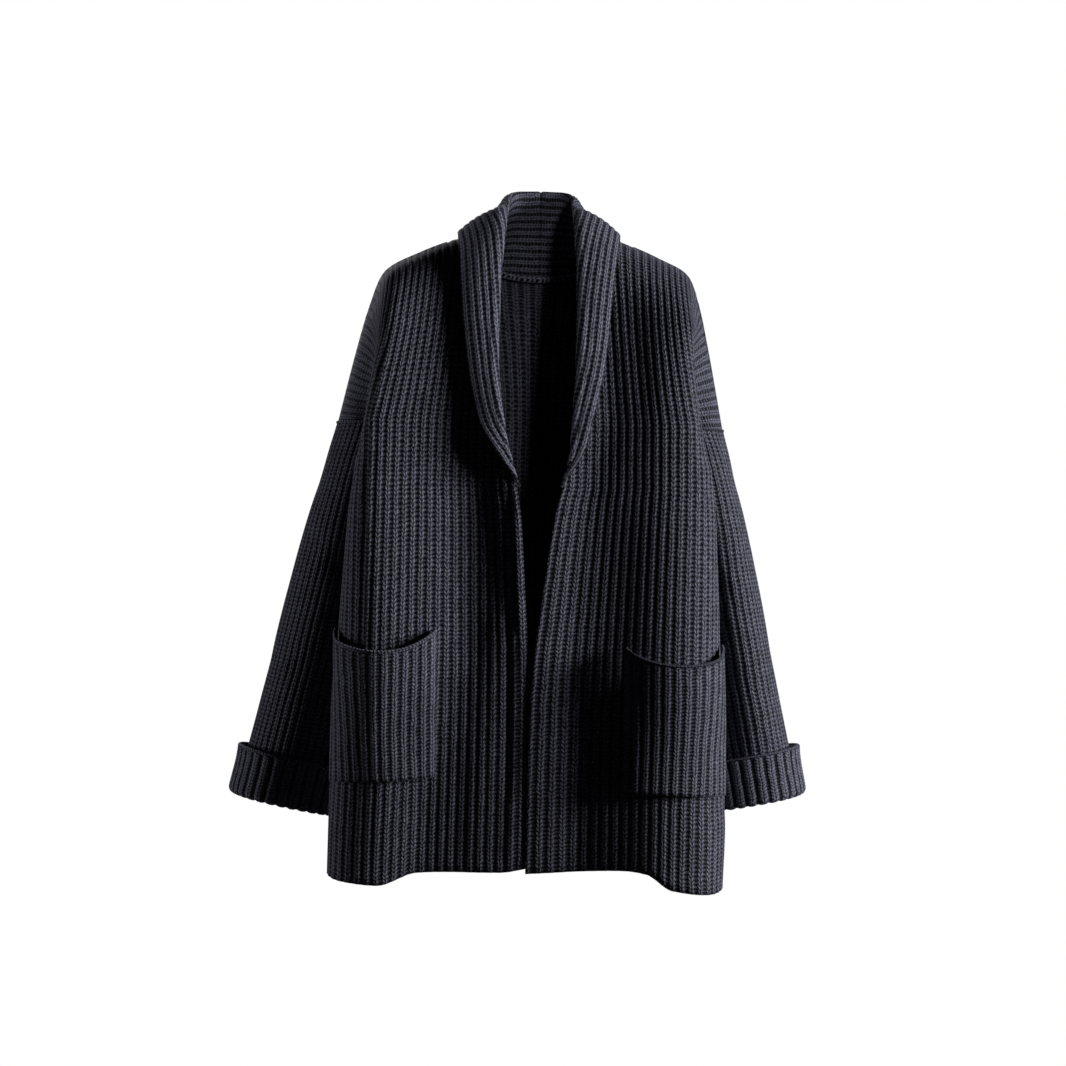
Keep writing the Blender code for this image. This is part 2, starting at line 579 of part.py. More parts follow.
def collar_controls(side, seam, feet, normals, inward):
    """Points of the collar's section at each row of its table: from the seam up the
    stand, half a circle round the roll and down the fall to its edge on the panel."""
    rows = []
    for row in COLLAR[side]:
        got = dict(zip(COLLAR_COLUMNS, row))
        foot = spline(seam, feet, got["seam"])
        panel = front_points if got["seam"] <= 1 else back_points
        edge = lifted(side, panel, got["edge_across"], got["edge_up"], got["edge_lift"])
        roll = np.array([got["roll_x"], got["roll_y"], got["roll_z"]])
        width = np.linalg.norm(roll - foot) + np.linalg.norm(edge - roll)
        radius = min(ROLL, ROLL_OF_WIDTH * width)
        rise = (roll - foot) / np.linalg.norm(roll - foot)
        out = spline(seam, normals, got["seam"])
        out -= (out @ rise) * rise
        out /= np.linalg.norm(out)
        turn = np.linspace(0, math.pi, ROLL_STRIPS + 1)[:, None]
        bend = roll + radius * ((np.sin(turn) - 1) * rise + (1 - np.cos(turn)) * out)
        stand = foot + np.linspace(0, 1, STAND_STRIPS, endpoint=False)[:, None] * (bend[0] - foot)
        down = np.linspace(0, 1, FALL_STRIPS + 1)[1:, None]
        bow = FALL_BOW * radius * np.sin(math.pi * down) * out
        fall = bend[-1] + down * (edge - bend[-1]) + bow
        folded = np.concatenate([stand, bend, fall])
        way = spline(seam, inward + TIP_LEAN * normals, got["seam"])
        way /= np.linalg.norm(way)
        flat = foot + np.linspace(0, 1, len(folded))[:, None] * COLLAR_TIP * way
        rows.append(flat + (folded - flat) * got["folded"])
    return np.array(rows)


def collar_grid(side, seam, feet, normals, inward):
    """A station for each point of the neck seam, and the section across it."""
    controls = collar_controls(side, seam, feet, normals, inward)
    grid = spline(column(COLLAR[side], COLLAR_COLUMNS, "seam"), controls, seam)
    grid[:, 0] = feet
    grid[-1, :, 0] = 0.0
    return grid


def on_rows(line, heights):
    """Points where a panel's column crosses the given heights."""
    return np.stack([np.interp(heights, line[:, 2], line[:, k]) for k in range(3)], axis=-1)


def pocket_grid(side, front, normals):
    """Patch pocket: points of the front's own columns moved out, gaping at the mouth."""
    got = dict(zip(POCKET_COLUMNS, POCKETS[side]))
    first, last = POCKET_SPAN
    share = np.linspace(0, 1, last - first + 1)
    tops = (got["top_inner"] + (got["top_outer"] - got["top_inner"]) * share
            - got["sag"] * np.sin(math.pi * share) ** 0.8)
    bottoms = got["bottom_inner"] + (got["bottom_outer"] - got["bottom_inner"]) * share
    under = front[:ROWS_BELOW + 1, first:last + 1]
    inside = ((under[..., 2] > bottoms + POCKET_TRIM)
              & (under[..., 2] < tops - POCKET_TRIM)).all(axis=1)
    points, ways = [], []
    for f in range(last - first + 1):
        line, normal = under[:, f], normals[:ROWS_BELOW + 1, first + f]
        heights = np.concatenate([[bottoms[f]], line[inside, 2], [tops[f]]])
        points.append(on_rows(line, heights))
        way = np.stack([np.interp(heights, line[:, 2], normal[:, k]) for k in range(3)], axis=-1)
        ways.append(way / np.linalg.norm(way, axis=-1, keepdims=True))
    base, ways = np.array(points).swapaxes(0, 1), np.array(ways).swapaxes(0, 1)
    up = np.linspace(0, 1, len(base))[:, None]
    gape = np.sin(math.pi * share)[None, :] ** 0.7 * smooth_step(0.25, 1.0, up) * POCKET_MOUTH
    return base + ways * (POCKET_LIFT + gape)[..., None], ways


def tube_normals(grid):
    """Normals of a grid that closes on itself, pointing away from its axis."""
    around = np.concatenate([grid[:, -1:], grid, grid[:, :1]], axis=1)
    return outward(grid_normals(around)[:, 1:-1], grid, grid.mean(axis=1, keepdims=True))


def panels():
    """Grids of the fronts and of the back's two halves, with their normals."""
    front, front_n, back, back_n = {}, {}, {}, {}
    half = {side: back_grid(side) for side in SIDES}
    whole = np.concatenate([half["right"][:, :0:-1], half["left"]], axis=1)
    middle = (whole.shape[1] - 1) // 2
    normals = grid_normals(whole)
    normals *= np.sign(normals[:, middle, 1].sum())
    for side in SIDES:
        front[side] = front_grid(side)
        front_n[side] = grid_normals(front[side])
        front_n[side] *= -np.sign(front_n[side][:, 1, 1].sum())
        span = slice(middle, None) if side == "left" else slice(middle, None, -1)
        back[side], back_n[side] = whole[:, span], normals[:, span]
    return front, front_n, back, back_n, whole, normals


def join_panels(front_n, back_n, sleeve_n):
    """Share the normals along one side's side seam, shoulder seam and armhole."""
    side_seam = slice(0, ROWS_BELOW + 1)
    join_normals(front_n[side_seam, -1], back_n[side_seam, -1])
    shoulder = slice(-(COLUMNS_BODY + COLUMNS_ARM + 1), None)
    join_normals(front_n[-1], back_n[-1, shoulder])
    ring = sleeve_n[0]
    join_normals(front_n[ROWS_BELOW:, -1], ring[:ROWS_ABOVE + 1])
    behind = np.concatenate([ring[ROWS_ABOVE:], ring[:1]])
    join_normals(back_n[ROWS_BELOW:, -1], behind[::-1])
    ring[ROWS_ABOVE + 1:] = behind[1:-1]
    over_arm = front_n[-1, -1] + back_n[-1, -1] + ring[ROWS_ABOVE]
    over_arm /= np.linalg.norm(over_arm)
    for normal in (front_n[-1, -1], back_n[-1, -1], ring[ROWS_ABOVE]):
        normal[:] = over_arm
    for normal in (front_n[ROWS_BELOW, -1], back_n[ROWS_BELOW, -1], ring[0]):
        normal[:] = (0.0, 0.0, -1.0)


def neck_seam(front, front_n, back, back_n):
    """Points of the neck seam, with their keys and normals and the way on from them."""
    edge = front[COLLAR_END:, 0]
    run = run_of(edge)
    neck = slice(COLUMNS_NECK - 1, None, -1)
    seam = np.concatenate([run / run[-1], 2 - np.arange(COLUMNS_NECK)[::-1] / COLUMNS_NECK])
    feet = np.concatenate([edge, back[-1, neck]])
    normals = np.concatenate([front_n[COLLAR_END:, 0], back_n[-1, neck]])
    inward = np.cross(np.gradient(feet, axis=0), normals)
    inward /= np.linalg.norm(inward, axis=-1, keepdims=True)
    return seam, feet, normals, inward * np.sign(inward[-1, 2])


def add_collar(side, seam, feet, normals, inward):
    flip = np.array([SIDES[side], 1.0, 1.0])
    grid = collar_grid(side, seam, feet * flip, normals * flip, inward * flip) * flip
    collar_n = grid_normals(grid)
    collar_n *= np.sign(np.einsum("rk,rk->", collar_n[:, 0], normals))
    collar_n[:, 0] = normals
    collar_n[-1, :, 0] = 0.0
    collar_n[-1] /= np.linalg.norm(collar_n[-1], axis=-1, keepdims=True)
    pull_back(grid, "first_column")
    pull_back(grid, "last_row")
    wall("collar_" + side, grid, collar_n)


def add_sleeve(side, sleeve, sleeve_n):
    """The sleeve as far as the cuff's seam, and the cuff that carries it on."""
    axis = sleeve[-1].mean(axis=0) - sleeve[-2].mean(axis=0)
    axis /= np.linalg.norm(axis)
    sleeve[-1] -= axis * CUFF_HEM
    cuff = cuff_grid(side, sleeve[-1].copy(), axis)
    pull_back(sleeve, "first_row")
    pull_back(sleeve, "last_row")
    wall("sleeve_" + side, sleeve, sleeve_n, closed=True)
    around = np.concatenate([cuff[:, -1:], cuff, cuff[:, :1]], axis=1)
    cuff_n = grid_normals(around)[:, 1:-1]
    cuff_n *= np.sign(np.einsum("ck,ck->", cuff_n[0], sleeve_n[-1]))
    cuff_n[0] = sleeve_n[-1]
    pull_back(cuff, "first_row")
    wall("cuff_" + side, cuff, cuff_n, closed=True)


def build():
    for item in list(bpy.data.objects):
        bpy.data.objects.remove(item, do_unlink=True)
    front, front_n, back, back_n, whole, whole_n = panels()
    for side in SIDES:
        sleeve = sleeve_grid(side)
        sleeve_n = tube_normals(sleeve)
        join_panels(front_n[side], back_n[side], sleeve_n)
        add_collar(side, *neck_seam(front[side], front_n[side], back[side], back_n[side]))
        for edge in ("first_column", "last_column", "last_row"):
            pull_back(front[side], edge)
        wall("front_" + side, front[side], front_n[side])
        pocket, pocket_n = pocket_grid(side, front[side], front_n[side])
        wall("pocket_" + side, pocket, pocket_n)
        add_sleeve(side, sleeve, sleeve_n)
    for edge in ("first_column", "last_column", "last_row"):
        pull_back(whole, edge)
    wall("back", whole, whole_n)


build()
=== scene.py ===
import math

import bpy
import numpy as np
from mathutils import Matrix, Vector


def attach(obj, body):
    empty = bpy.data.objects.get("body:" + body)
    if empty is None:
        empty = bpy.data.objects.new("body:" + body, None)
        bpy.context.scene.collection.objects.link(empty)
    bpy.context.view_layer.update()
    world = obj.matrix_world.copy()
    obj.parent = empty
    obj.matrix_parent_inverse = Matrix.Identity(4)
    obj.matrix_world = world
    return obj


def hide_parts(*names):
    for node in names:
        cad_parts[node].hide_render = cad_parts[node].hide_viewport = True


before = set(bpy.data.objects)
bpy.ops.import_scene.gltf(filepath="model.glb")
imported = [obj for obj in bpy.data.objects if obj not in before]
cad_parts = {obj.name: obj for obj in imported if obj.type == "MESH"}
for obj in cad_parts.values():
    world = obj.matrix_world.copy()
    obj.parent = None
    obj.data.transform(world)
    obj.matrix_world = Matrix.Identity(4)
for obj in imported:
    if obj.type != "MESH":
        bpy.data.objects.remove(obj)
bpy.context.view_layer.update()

# Sizes are in metres unless a line says otherwise. Each panel is addressed like its
# flat pattern: "across" from the centre line to the side seam, "up" from the hem (-1)
# through the armhole level (0) to the shoulder seam (+1).
cut = {
    "armholeLevel": -0.215, "highShoulder": (0.082, 0.000, 0.001), "sideY": 0.030,
    "backNeckDepth": 0.085, "backNeckDrop": 0.037, "neckRoundness": 0.75,
    "levelSlope": 0.20, "slopeStep": 0.02, "probe": 0.01,
}
cloth = {
    "halfWall": 0.0014, "ridge": 0.0008, "innerRidge": 0.0008,  # wall and the rib's relief
    "ridgeTop": 0.30, "ridgeFoot": 0.98,  # shares of half a rib
    "stitch": 0.0055, "samplesPerRib": 8,
}
sideSign = {"left": 1.0, "right": -1.0}


def spline(keys, values, at, rounded=False):
    # Cubic Hermite through the rows: p = v0(1+2f)(1-f)^2 + v1 f^2(3-2f) + m0 d f(1-f)^2
    # + m1 d f^2(f-1), each slope m the harmonic mean of its chords, or their mean.
    keys = np.asarray(keys, float)
    values = np.asarray(values, float)
    at = np.clip(np.asarray(at, float), keys[0], keys[-1])
    steps = np.diff(keys).reshape((-1,) + (1,) * (values.ndim - 1))
    chords = np.diff(values, axis=0) / steps
    before, after = chords[:-1], chords[1:]
    if rounded:
        inner = (before + after) / 2
    else:
        sameWay = before * after > 0
        inner = np.where(sameWay, 2 * before * after / np.where(sameWay, before + after, 1), 0)
    slopes = np.concatenate([chords[:1], inner, chords[-1:]])
    i = np.clip(np.searchsorted(keys, at, side="right") - 1, 0, len(keys) - 2)
    span = keys[i + 1] - keys[i]
    f = (at - keys[i]) / span
    shape = f.shape + (1,) * (values.ndim - 1)
    f, span = f.reshape(shape), span.reshape(shape)
    return (values[i] * (1 + 2 * f) * (1 - f) ** 2 + values[i + 1] * f * f * (3 - 2 * f)
            + slopes[i] * span * f * (1 - f) ** 2 + slopes[i + 1] * span * f * f * (f - 1))


def columnOf(table, names, name):
    # The named column of a table.
    return np.array([row[names.index(name)] for row in table], float)


def runOf(points):
    # Length along a polyline: r_k = sum of |p_j+1 - p_j| for j below k.
    steps = np.linalg.norm(np.diff(points, axis=0), axis=1)
    return np.concatenate([[0.0], np.cumsum(steps)])


def alongPolyline(points, share):
    # Point at r = share x whole length, by linear interpolation.
    run = runOf(points)
    where = np.asarray(share) * run[-1]
    return np.stack([np.interp(where, run, points[:, k]) for k in range(3)], axis=-1)


def dense(controls, count=160):
    # Spline through controls keyed by the running sum of sqrt(chord).
    controls = np.asarray(controls, float)
    gaps = np.linalg.norm(np.diff(controls, axis=0), axis=1)
    keys = np.concatenate([[0.0], np.cumsum(np.maximum(gaps, 1e-6) ** 0.5)])
    return spline(keys, controls, np.linspace(0, keys[-1], count), rounded=True)


def smoothStep(low, high, value):
    # f^2(3 - 2f) with f = (value - low)/(high - low), held to 0..1.
    f = np.clip((value - low) / (high - low), 0, 1)
    return f * f * (3 - 2 * f)


def atHeight(points, height):
    # Flat points (x, y) set at one height: (x, y, h).
    return [(p[0], p[1], height) for p in points]


def hermite(start, end, startSlope, endSlope, f):
    # s(1+2f)(1-f)^2 + e f^2(3-2f) + m0 f(1-f)^2 + m1 f^2(f-1).
    return (start * (1 + 2 * f) * (1 - f) ** 2 + end * f * f * (3 - 2 * f)
            + startSlope * f * (1 - f) ** 2 + endSlope * f * f * (f - 1))


def mirrored(points, side):
    # x times the side's sign.
    return points * np.array([sideSign[side], 1.0, 1.0])


def ribHeight(u, foot=None):
    # 1 - smoothStep(top, foot, |2 frac(u) - 1|): a ridge between flat furrows.
    foot = cloth["ridgeFoot"] if foot is None else foot
    return 1 - smoothStep(cloth["ridgeTop"], foot, np.abs(2 * (u - np.floor(u)) - 1))


def foldHeight(x, z, folds):
    # Sum of depth exp(-(d/width)^2) (1 - 0.8 (2s - 1)^4), with d the distance from the
    # fold's line and s the share along it.
    total = np.zeros_like(x)
    for x0, z0, x1, z1, width, depth in folds:
        dx, dz = x1 - x0, z1 - z0
        s = np.clip(((x - x0) * dx + (z - z0) * dz) / (dx * dx + dz * dz), -0.15, 1.15)
        d = np.hypot(x - x0 - s * dx, z - z0 - s * dz)
        taper = np.clip(1 - np.abs(2 * np.clip(s, 0, 1) - 1) ** 4 * 0.8, 0, 1)
        total += depth * np.exp(-(d / width) ** 2) * taper
    return total


def gridNormals(points, first, last, closed=False):
    # Cross product of the differences across and along, each within the row's columns.
    rows, columns = points.shape[:2]
    r = np.arange(rows)[:, None]
    c = np.arange(columns)[None, :]
    if closed:
        span = columns - 1
        right, left = (c + 1) % span + 0 * r, (c - 1) % span + 0 * r
    else:
        here = np.clip(c, first[:, None], last[:, None])
        right = np.clip(here + 1, first[:, None], last[:, None])
        left = np.clip(here - 1, first[:, None], last[:, None])
    across = points[r, right] - points[r, left]
    above, below = np.clip(r + 1, 0, rows - 1), np.clip(r - 1, 0, rows - 1)
    along = points[above, c] - points[below, c]
    normal = np.cross(across, along)
    return normal / np.maximum(np.linalg.norm(normal, axis=-1, keepdims=True), 1e-12)


def tubeNormals(points):
    # Normals of a closed grid, turned away from each row's centre.
    rows = len(points)
    first = np.zeros(rows, int)
    normals = gridNormals(points, first, first + points.shape[1] - 1, closed=True)
    away = points - points[:, :-1].mean(axis=1, keepdims=True)
    return normals * np.sign(np.einsum("rck,rck->", normals, away))


def volumeOf(points, faces):
    # Six times the volume: sum of a . (b x c), below 0 when the faces point inwards.
    a, b, c = (points[faces[:, k]] for k in range(3))
    return np.einsum("ij,ij->", a, np.cross(b, c))


def shell(name, points, normals, outer, inner, u, v, first, last, closed=False):
    # Wall between points + outer n and points - inner n. Columns outside a row's first
    # and last are welded to them, faces that vanish are dropped, and open edges get a rim.
    rows, columns = points.shape[:2]
    count = rows * columns
    r, c = np.meshgrid(np.arange(rows - 1), np.arange(columns - 1), indexing="ij")
    corners = [(r, c), (r, c + 1), (r + 1, c + 1), (r + 1, c)]
    corner = np.stack([a * columns + b for a, b in corners], axis=-1).reshape(-1, 4)
    held = np.clip(np.arange(columns)[None, :], first[:, None], last[:, None])
    if closed:
        held = held % (columns - 1)
    weld = (np.arange(rows)[:, None] * columns + held).ravel()
    tris = np.concatenate([corner[:, [0, 1, 2]], corner[:, [0, 2, 3]]])
    ids = weld[tris]
    keep = ((ids[:, 0] != ids[:, 1]) & (ids[:, 1] != ids[:, 2]) & (ids[:, 0] != ids[:, 2]))
    tris, ids = tris[keep], ids[keep]
    edges = np.concatenate([ids[:, [0, 1]], ids[:, [1, 2]], ids[:, [2, 0]]])
    edgeCorners = np.concatenate([tris[:, [0, 1]], tris[:, [1, 2]], tris[:, [2, 0]]])
    forward = edges[:, 0].astype(np.int64) * count + edges[:, 1]
    backward = edges[:, 1].astype(np.int64) * count + edges[:, 0]
    rim = ~np.isin(forward, backward)
    a, b = edges[rim, 0], edges[rim, 1]
    ca, cb = edgeCorners[rim, 0], edgeCorners[rim, 1]
    faces = np.concatenate([ids, ids[:, ::-1] + count,
                            np.stack([b, a, a + count], axis=1),
                            np.stack([b, a + count, b + count], axis=1)])
    cornersOf = np.concatenate([tris, tris[:, ::-1], np.stack([cb, ca, ca], axis=1),
                                np.stack([cb, ca, cb], axis=1)])
    both = np.concatenate([(points + normals * outer[..., None]).reshape(-1, 3),
                           (points - normals * inner[..., None]).reshape(-1, 3)])
    used, compact = np.unique(faces, return_inverse=True)
    faces = compact.reshape(faces.shape)
    both = both[used]
    if volumeOf(both, faces) < 0:
        faces, cornersOf = faces[:, ::-1], cornersOf[:, ::-1]
    uv = np.stack([u.ravel(), v.ravel()], axis=-1)[cornersOf.ravel()]
    return addMesh(name, both, faces, uv)


def addMesh(name, points, faces, uv):
    # Mesh of triangles with one UV map in ribs and rows.
    mesh = bpy.data.meshes.new(name)
    mesh.vertices.add(len(points))
    mesh.vertices.foreach_set("co", np.ascontiguousarray(points, np.float32).ravel())
    mesh.loops.add(faces.size)
    mesh.loops.foreach_set("vertex_index", np.ascontiguousarray(faces, np.int32).ravel())
    mesh.polygons.add(len(faces))
    mesh.polygons.foreach_set("loop_start", np.arange(0, faces.size, 3, dtype=np.int32))
    mesh.update(calc_edges=True)
    mesh.validate()
    layer = mesh.uv_layers.new(name="knit")
    layer.data.foreach_set("uv", np.ascontiguousarray(uv, np.float32).ravel())
    mesh.shade_smooth()
    item = bpy.data.objects.new(name, mesh)
    bpy.context.scene.collection.objects.link(item)
    return item


def tube(name, line, radius, pitch=None):
    # Rings p + r(cos a n1 + sin a n2) round a polyline, with its ends closed; n1 is
    # tangent x the axis the line never runs along.
    sides = seams["sides"]
    tangent = np.gradient(line, axis=0)
    tangent /= np.linalg.norm(tangent, axis=-1, keepdims=True)
    guide = np.eye(3)[np.abs(tangent).max(axis=0).argmin()]
    one = np.cross(tangent, guide)
    one /= np.linalg.norm(one, axis=-1, keepdims=True)
    two = np.cross(tangent, one)
    angle = np.linspace(0, 2 * math.pi, sides, endpoint=False)
    rings = line[:, None] + radius * (np.cos(angle)[None, :, None] * one[:, None]
                                      + np.sin(angle)[None, :, None] * two[:, None])
    rows = len(line)
    r, c = np.meshgrid(np.arange(rows - 1), np.arange(sides), indexing="ij")
    d = (c + 1) % sides
    q = np.stack([r * sides + c, r * sides + d, (r + 1) * sides + d, (r + 1) * sides + c], axis=-1)
    q = q.reshape(-1, 4)
    ends = rows * sides
    k = np.arange(sides)
    low = np.stack([np.full(sides, ends), (k + 1) % sides, k], axis=1)
    high = np.stack([np.full(sides, ends + 1), k + ends - sides,
                     (k + 1) % sides + ends - sides], axis=1)
    faces = np.concatenate([q[:, [0, 1, 2]], q[:, [0, 2, 3]], low, high])
    points = np.concatenate([rings.reshape(-1, 3), line[:1], line[-1:]])
    run = runOf(line) / (pitch or seams["stitch"])
    around = np.stack(np.meshgrid(np.arange(sides) / sides, run), axis=-1).reshape(-1, 2)
    uvPoint = np.concatenate([around, [[0, 0]], [[0, run[-1]]]])
    if volumeOf(points, faces) < 0:
        faces = faces[:, ::-1]
    return addMesh(name, points, faces, uvPoint[faces.ravel()])


# The two fronts and the back. Sections are half outlines at a height, by the columns
# named below them: the front has a valley beside its edge, a bulge over the pocket and a
# crest where it turns to the side.
frontSections = {
    "left": (
        (-0.215, -0.096, 0.080, -0.0840, 0.150, -0.0935, 0.1940, -0.067, 0.1285, 0.1345),
        (-0.260, -0.102, 0.068, -0.0895, 0.150, -0.1000, 0.1985, -0.068, 0.1270, 0.1285),
        (-0.330, -0.110, 0.058, -0.1015, 0.151, -0.1120, 0.2035, -0.070, 0.1320, 0.1330),
        (-0.450, -0.119, 0.050, -0.1140, 0.153, -0.1265, 0.2100, -0.074, 0.1475, 0.1485),
        (-0.560, -0.122, 0.050, -0.1205, 0.155, -0.1370, 0.2170, -0.080, 0.1615, 0.1625),
        (-0.650, -0.120, 0.052, -0.1200, 0.155, -0.1385, 0.2185, -0.084, 0.1710, 0.1720),
        (-0.725, -0.118, 0.054, -0.1185, 0.155, -0.1380, 0.2165, -0.086, 0.1790, 0.1800)),
    "right": (
        (-0.215, -0.096, 0.076, -0.0870, 0.176, -0.1010, 0.1950, -0.070, 0.1285, 0.1345),
        (-0.260, -0.101, 0.082, -0.0905, 0.177, -0.1075, 0.1990, -0.072, 0.1285, 0.1300),
        (-0.330, -0.109, 0.076, -0.1010, 0.178, -0.1210, 0.2040, -0.075, 0.1370, 0.1380),
        (-0.450, -0.118, 0.069, -0.1125, 0.174, -0.1325, 0.2105, -0.078, 0.1545, 0.1555),
        (-0.560, -0.120, 0.086, -0.1150, 0.172, -0.1300, 0.2175, -0.082, 0.1695, 0.1705),
        (-0.650, -0.119, 0.110, -0.1120, 0.173, -0.1210, 0.2195, -0.084, 0.1800, 0.1810),
        (-0.725, -0.117, 0.116, -0.1095, 0.174, -0.1170, 0.2200, -0.085, 0.1860, 0.1870)),
}
sectionColumns = ("height", "centreY", "valleyX", "valleyY", "bulgeX", "bulgeY",
                  "crestX", "crestY", "sideX", "seamX")
# Further points of the outlines, as shares of the way between two named ones.
frontOutline = {
    "middleY": -0.0015, "flank": {"left": (0.46, 0.5), "right": (0.50, 0.5)},
    "bulgeEnd": (0.68, 0.24), "behind": (0.34, 0.20), "inner": (0.82, 0.43), "beside": 0.1,
}
backOutline = {
    "half": 0.3, "halfY": -0.0005, "middle": 0.60, "middleY": -0.003,
    "behind": (0.38, 0.16), "inner": (0.84, 0.44), "beside": 1.9,
}
backColumns = ("height", "centreY", "crestX", "crestY")
backSections = (
    (-0.215, 0.128, 0.168, 0.108), (-0.330, 0.131, 0.176, 0.110),
    (-0.450, 0.133, 0.184, 0.111), (-0.560, 0.133, 0.192, 0.110),
    (-0.650, 0.132, 0.198, 0.108), (-0.725, 0.131, 0.202, 0.106))
# Shoulder seam from the high shoulder to its tip, then over the arm to the underarm.
shoulder = {
    "left": (cut["highShoulder"], (0.135, 0.004, -0.0205), (0.171, 0.010, -0.0400),
             (0.185, 0.016, -0.0750), (0.195, 0.022, -0.1160), (0.2155, 0.030, -0.2150)),
    "right": (cut["highShoulder"], (0.135, 0.004, -0.0195), (0.177, 0.010, -0.0430),
              (0.194, 0.016, -0.0840), (0.206, 0.022, -0.1260), (0.2275, 0.030, -0.2150)),
}
shoulderTip = 2
armRun = (1.0, 1.24, 1.47, 2.0)
neckEdge = {  # height, distance from the centre line
    "left": ((-0.760, 0.0000), (-0.640, 0.0000), (-0.550, 0.0008), (-0.487, 0.0035), (-0.413, 0.0115),
             (-0.368, 0.0170), (-0.323, 0.0237), (-0.300, 0.0285), (-0.2734, 0.0375),
             (-0.2345, 0.0480), (-0.215, 0.0520)),
    "right": ((-0.760, 0.0000), (-0.640, 0.0000), (-0.550, 0.0006), (-0.487, 0.0020), (-0.404, 0.0073),
              (-0.320, 0.0138), (-0.285, 0.0195), (-0.2734, 0.0240), (-0.2345, 0.0385),
              (-0.215, 0.0435)),
}
collarEnd = -0.145
frontCrest = {  # the crest's two middle points above the armhole level
    "left": ((0.1750, -0.071, -0.110), (0.1695, -0.036, -0.052)),
    "right": ((0.1750, -0.076, -0.114), (0.1715, -0.038, -0.054)),
}
backCrest = ((0.1690, 0.086, -0.110), (0.1715, 0.048, -0.055))
crestLevels = (0.0, 0.52, 0.86, 1.0)
overShoulder = {"front": (0.0, 0.105, 0.022), "back": (0.0, -0.095, 0.022)}
hem = {  # share across, height
    "left": ((0.0, -0.7155), (0.15, -0.7115), (0.30, -0.7085), (0.36, -0.7110), (0.44, -0.7285),
             (0.56, -0.7335), (0.70, -0.7280), (1.0, -0.7150)),
    "right": ((0.0, -0.7100), (0.08, -0.7150), (0.24, -0.7160), (0.34, -0.7180), (0.46, -0.7325),
              (0.58, -0.7290), (0.70, -0.7210), (1.0, -0.7120)),
    "back": ((0.0, -0.7080), (0.35, -0.7110), (0.7, -0.7070), (1.0, -0.7110)),
}


def frontLoop(side, height):
    # Section of a front: dense curve centre, valley, flank, bulge, crest, side, seam.
    table = frontSections[side]
    heights = -columnOf(table, sectionColumns, "height")
    got = {name: float(spline(heights, columnOf(table, sectionColumns, name), -height))
           for name in sectionColumns[1:]}
    valley = np.array([got["valleyX"], got["valleyY"]])
    bulge = np.array([got["bulgeX"], got["bulgeY"]])
    crest = np.array([got["crestX"], got["crestY"]])
    wall = np.array([got["sideX"], cut["sideY"]])
    beside = wall * np.array([1.0, frontOutline["beside"]])
    seam = np.array([got["seamX"], cut["sideY"]])
    flank = valley + (bulge - valley) * np.array(frontOutline["flank"][side])
    bulgeEnd = bulge + (crest - bulge) * np.array(frontOutline["bulgeEnd"])
    behind = crest + (wall - crest) * np.array(frontOutline["behind"])
    inner = crest + (wall - crest) * np.array(frontOutline["inner"])
    centre = np.array([0.0, got["centreY"]])
    middle = (centre + valley) / 2 + np.array([0.0, frontOutline["middleY"]])
    return dense(atHeight([centre, middle, valley, flank, bulge, bulgeEnd, crest,
                           behind, inner, beside, seam], height))


def backLoop(side, height):
    # Section of half the back: dense curve centre, middle, crest, side, seam.
    heights = -columnOf(backSections, backColumns, "height")
    got = {name: float(spline(heights, columnOf(backSections, backColumns, name), -height))
           for name in backColumns[1:]}
    table = frontSections[side]
    sideX, seamX = (float(spline(-columnOf(table, sectionColumns, "height"),
                                 columnOf(table, sectionColumns, name), -height))
                    for name in ("sideX", "seamX"))
    crest = np.array([got["crestX"], got["crestY"]])
    wall = np.array([sideX, cut["sideY"]])
    beside = wall * np.array([1.0, backOutline["beside"]])
    seam = np.array([seamX, cut["sideY"]])
    behind = crest + (wall - crest) * np.array(backOutline["behind"])
    inner = crest + (wall - crest) * np.array(backOutline["inner"])
    centre = np.array([0.0, got["centreY"]])
    half = np.array([crest[0] * backOutline["half"], got["centreY"] + backOutline["halfY"]])
    middle = np.array([crest[0] * backOutline["middle"], got["centreY"] + backOutline["middleY"]])
    return dense(atHeight([centre, half, middle, crest, behind, inner, beside, seam], height))


def crestShare(loop):
    # Share of the section's length at its largest x.
    run = runOf(loop)
    return float(run[np.argmax(loop[:, 0])] / run[-1])


def shoulderLine(side, share):
    # Spline through the shoulder rows keyed by share; level inside the neck.
    rows = np.array(shoulder[side])
    neck = cut["highShoulder"][0] / rows[shoulderTip][0]
    keys = np.array((neck, (neck + 1) / 2) + armRun)
    line = spline(keys, rows, share)
    level = np.array(cut["highShoulder"])[None, :] * np.stack(
        [share / neck, np.ones_like(share), np.ones_like(share)], axis=-1)
    return np.where((share < neck)[:, None], level, line)


def lowerRows(loopOf, side, hemRows, across, up):
    # Point at its share of the section at height h = level + (hem - level)(-up).
    level = cut["armholeLevel"]
    heights = level + (spline(*zip(*hemRows), across) - level) * -up
    low = alongPolyline(loopOf(side, heights.min() - 1e-4), across)
    high = alongPolyline(loopOf(side, heights.max() + 1e-4), across)
    mix = (heights - low[:, 2]) / (high[:, 2] - low[:, 2])
    return low + (high - low) * mix[:, None]


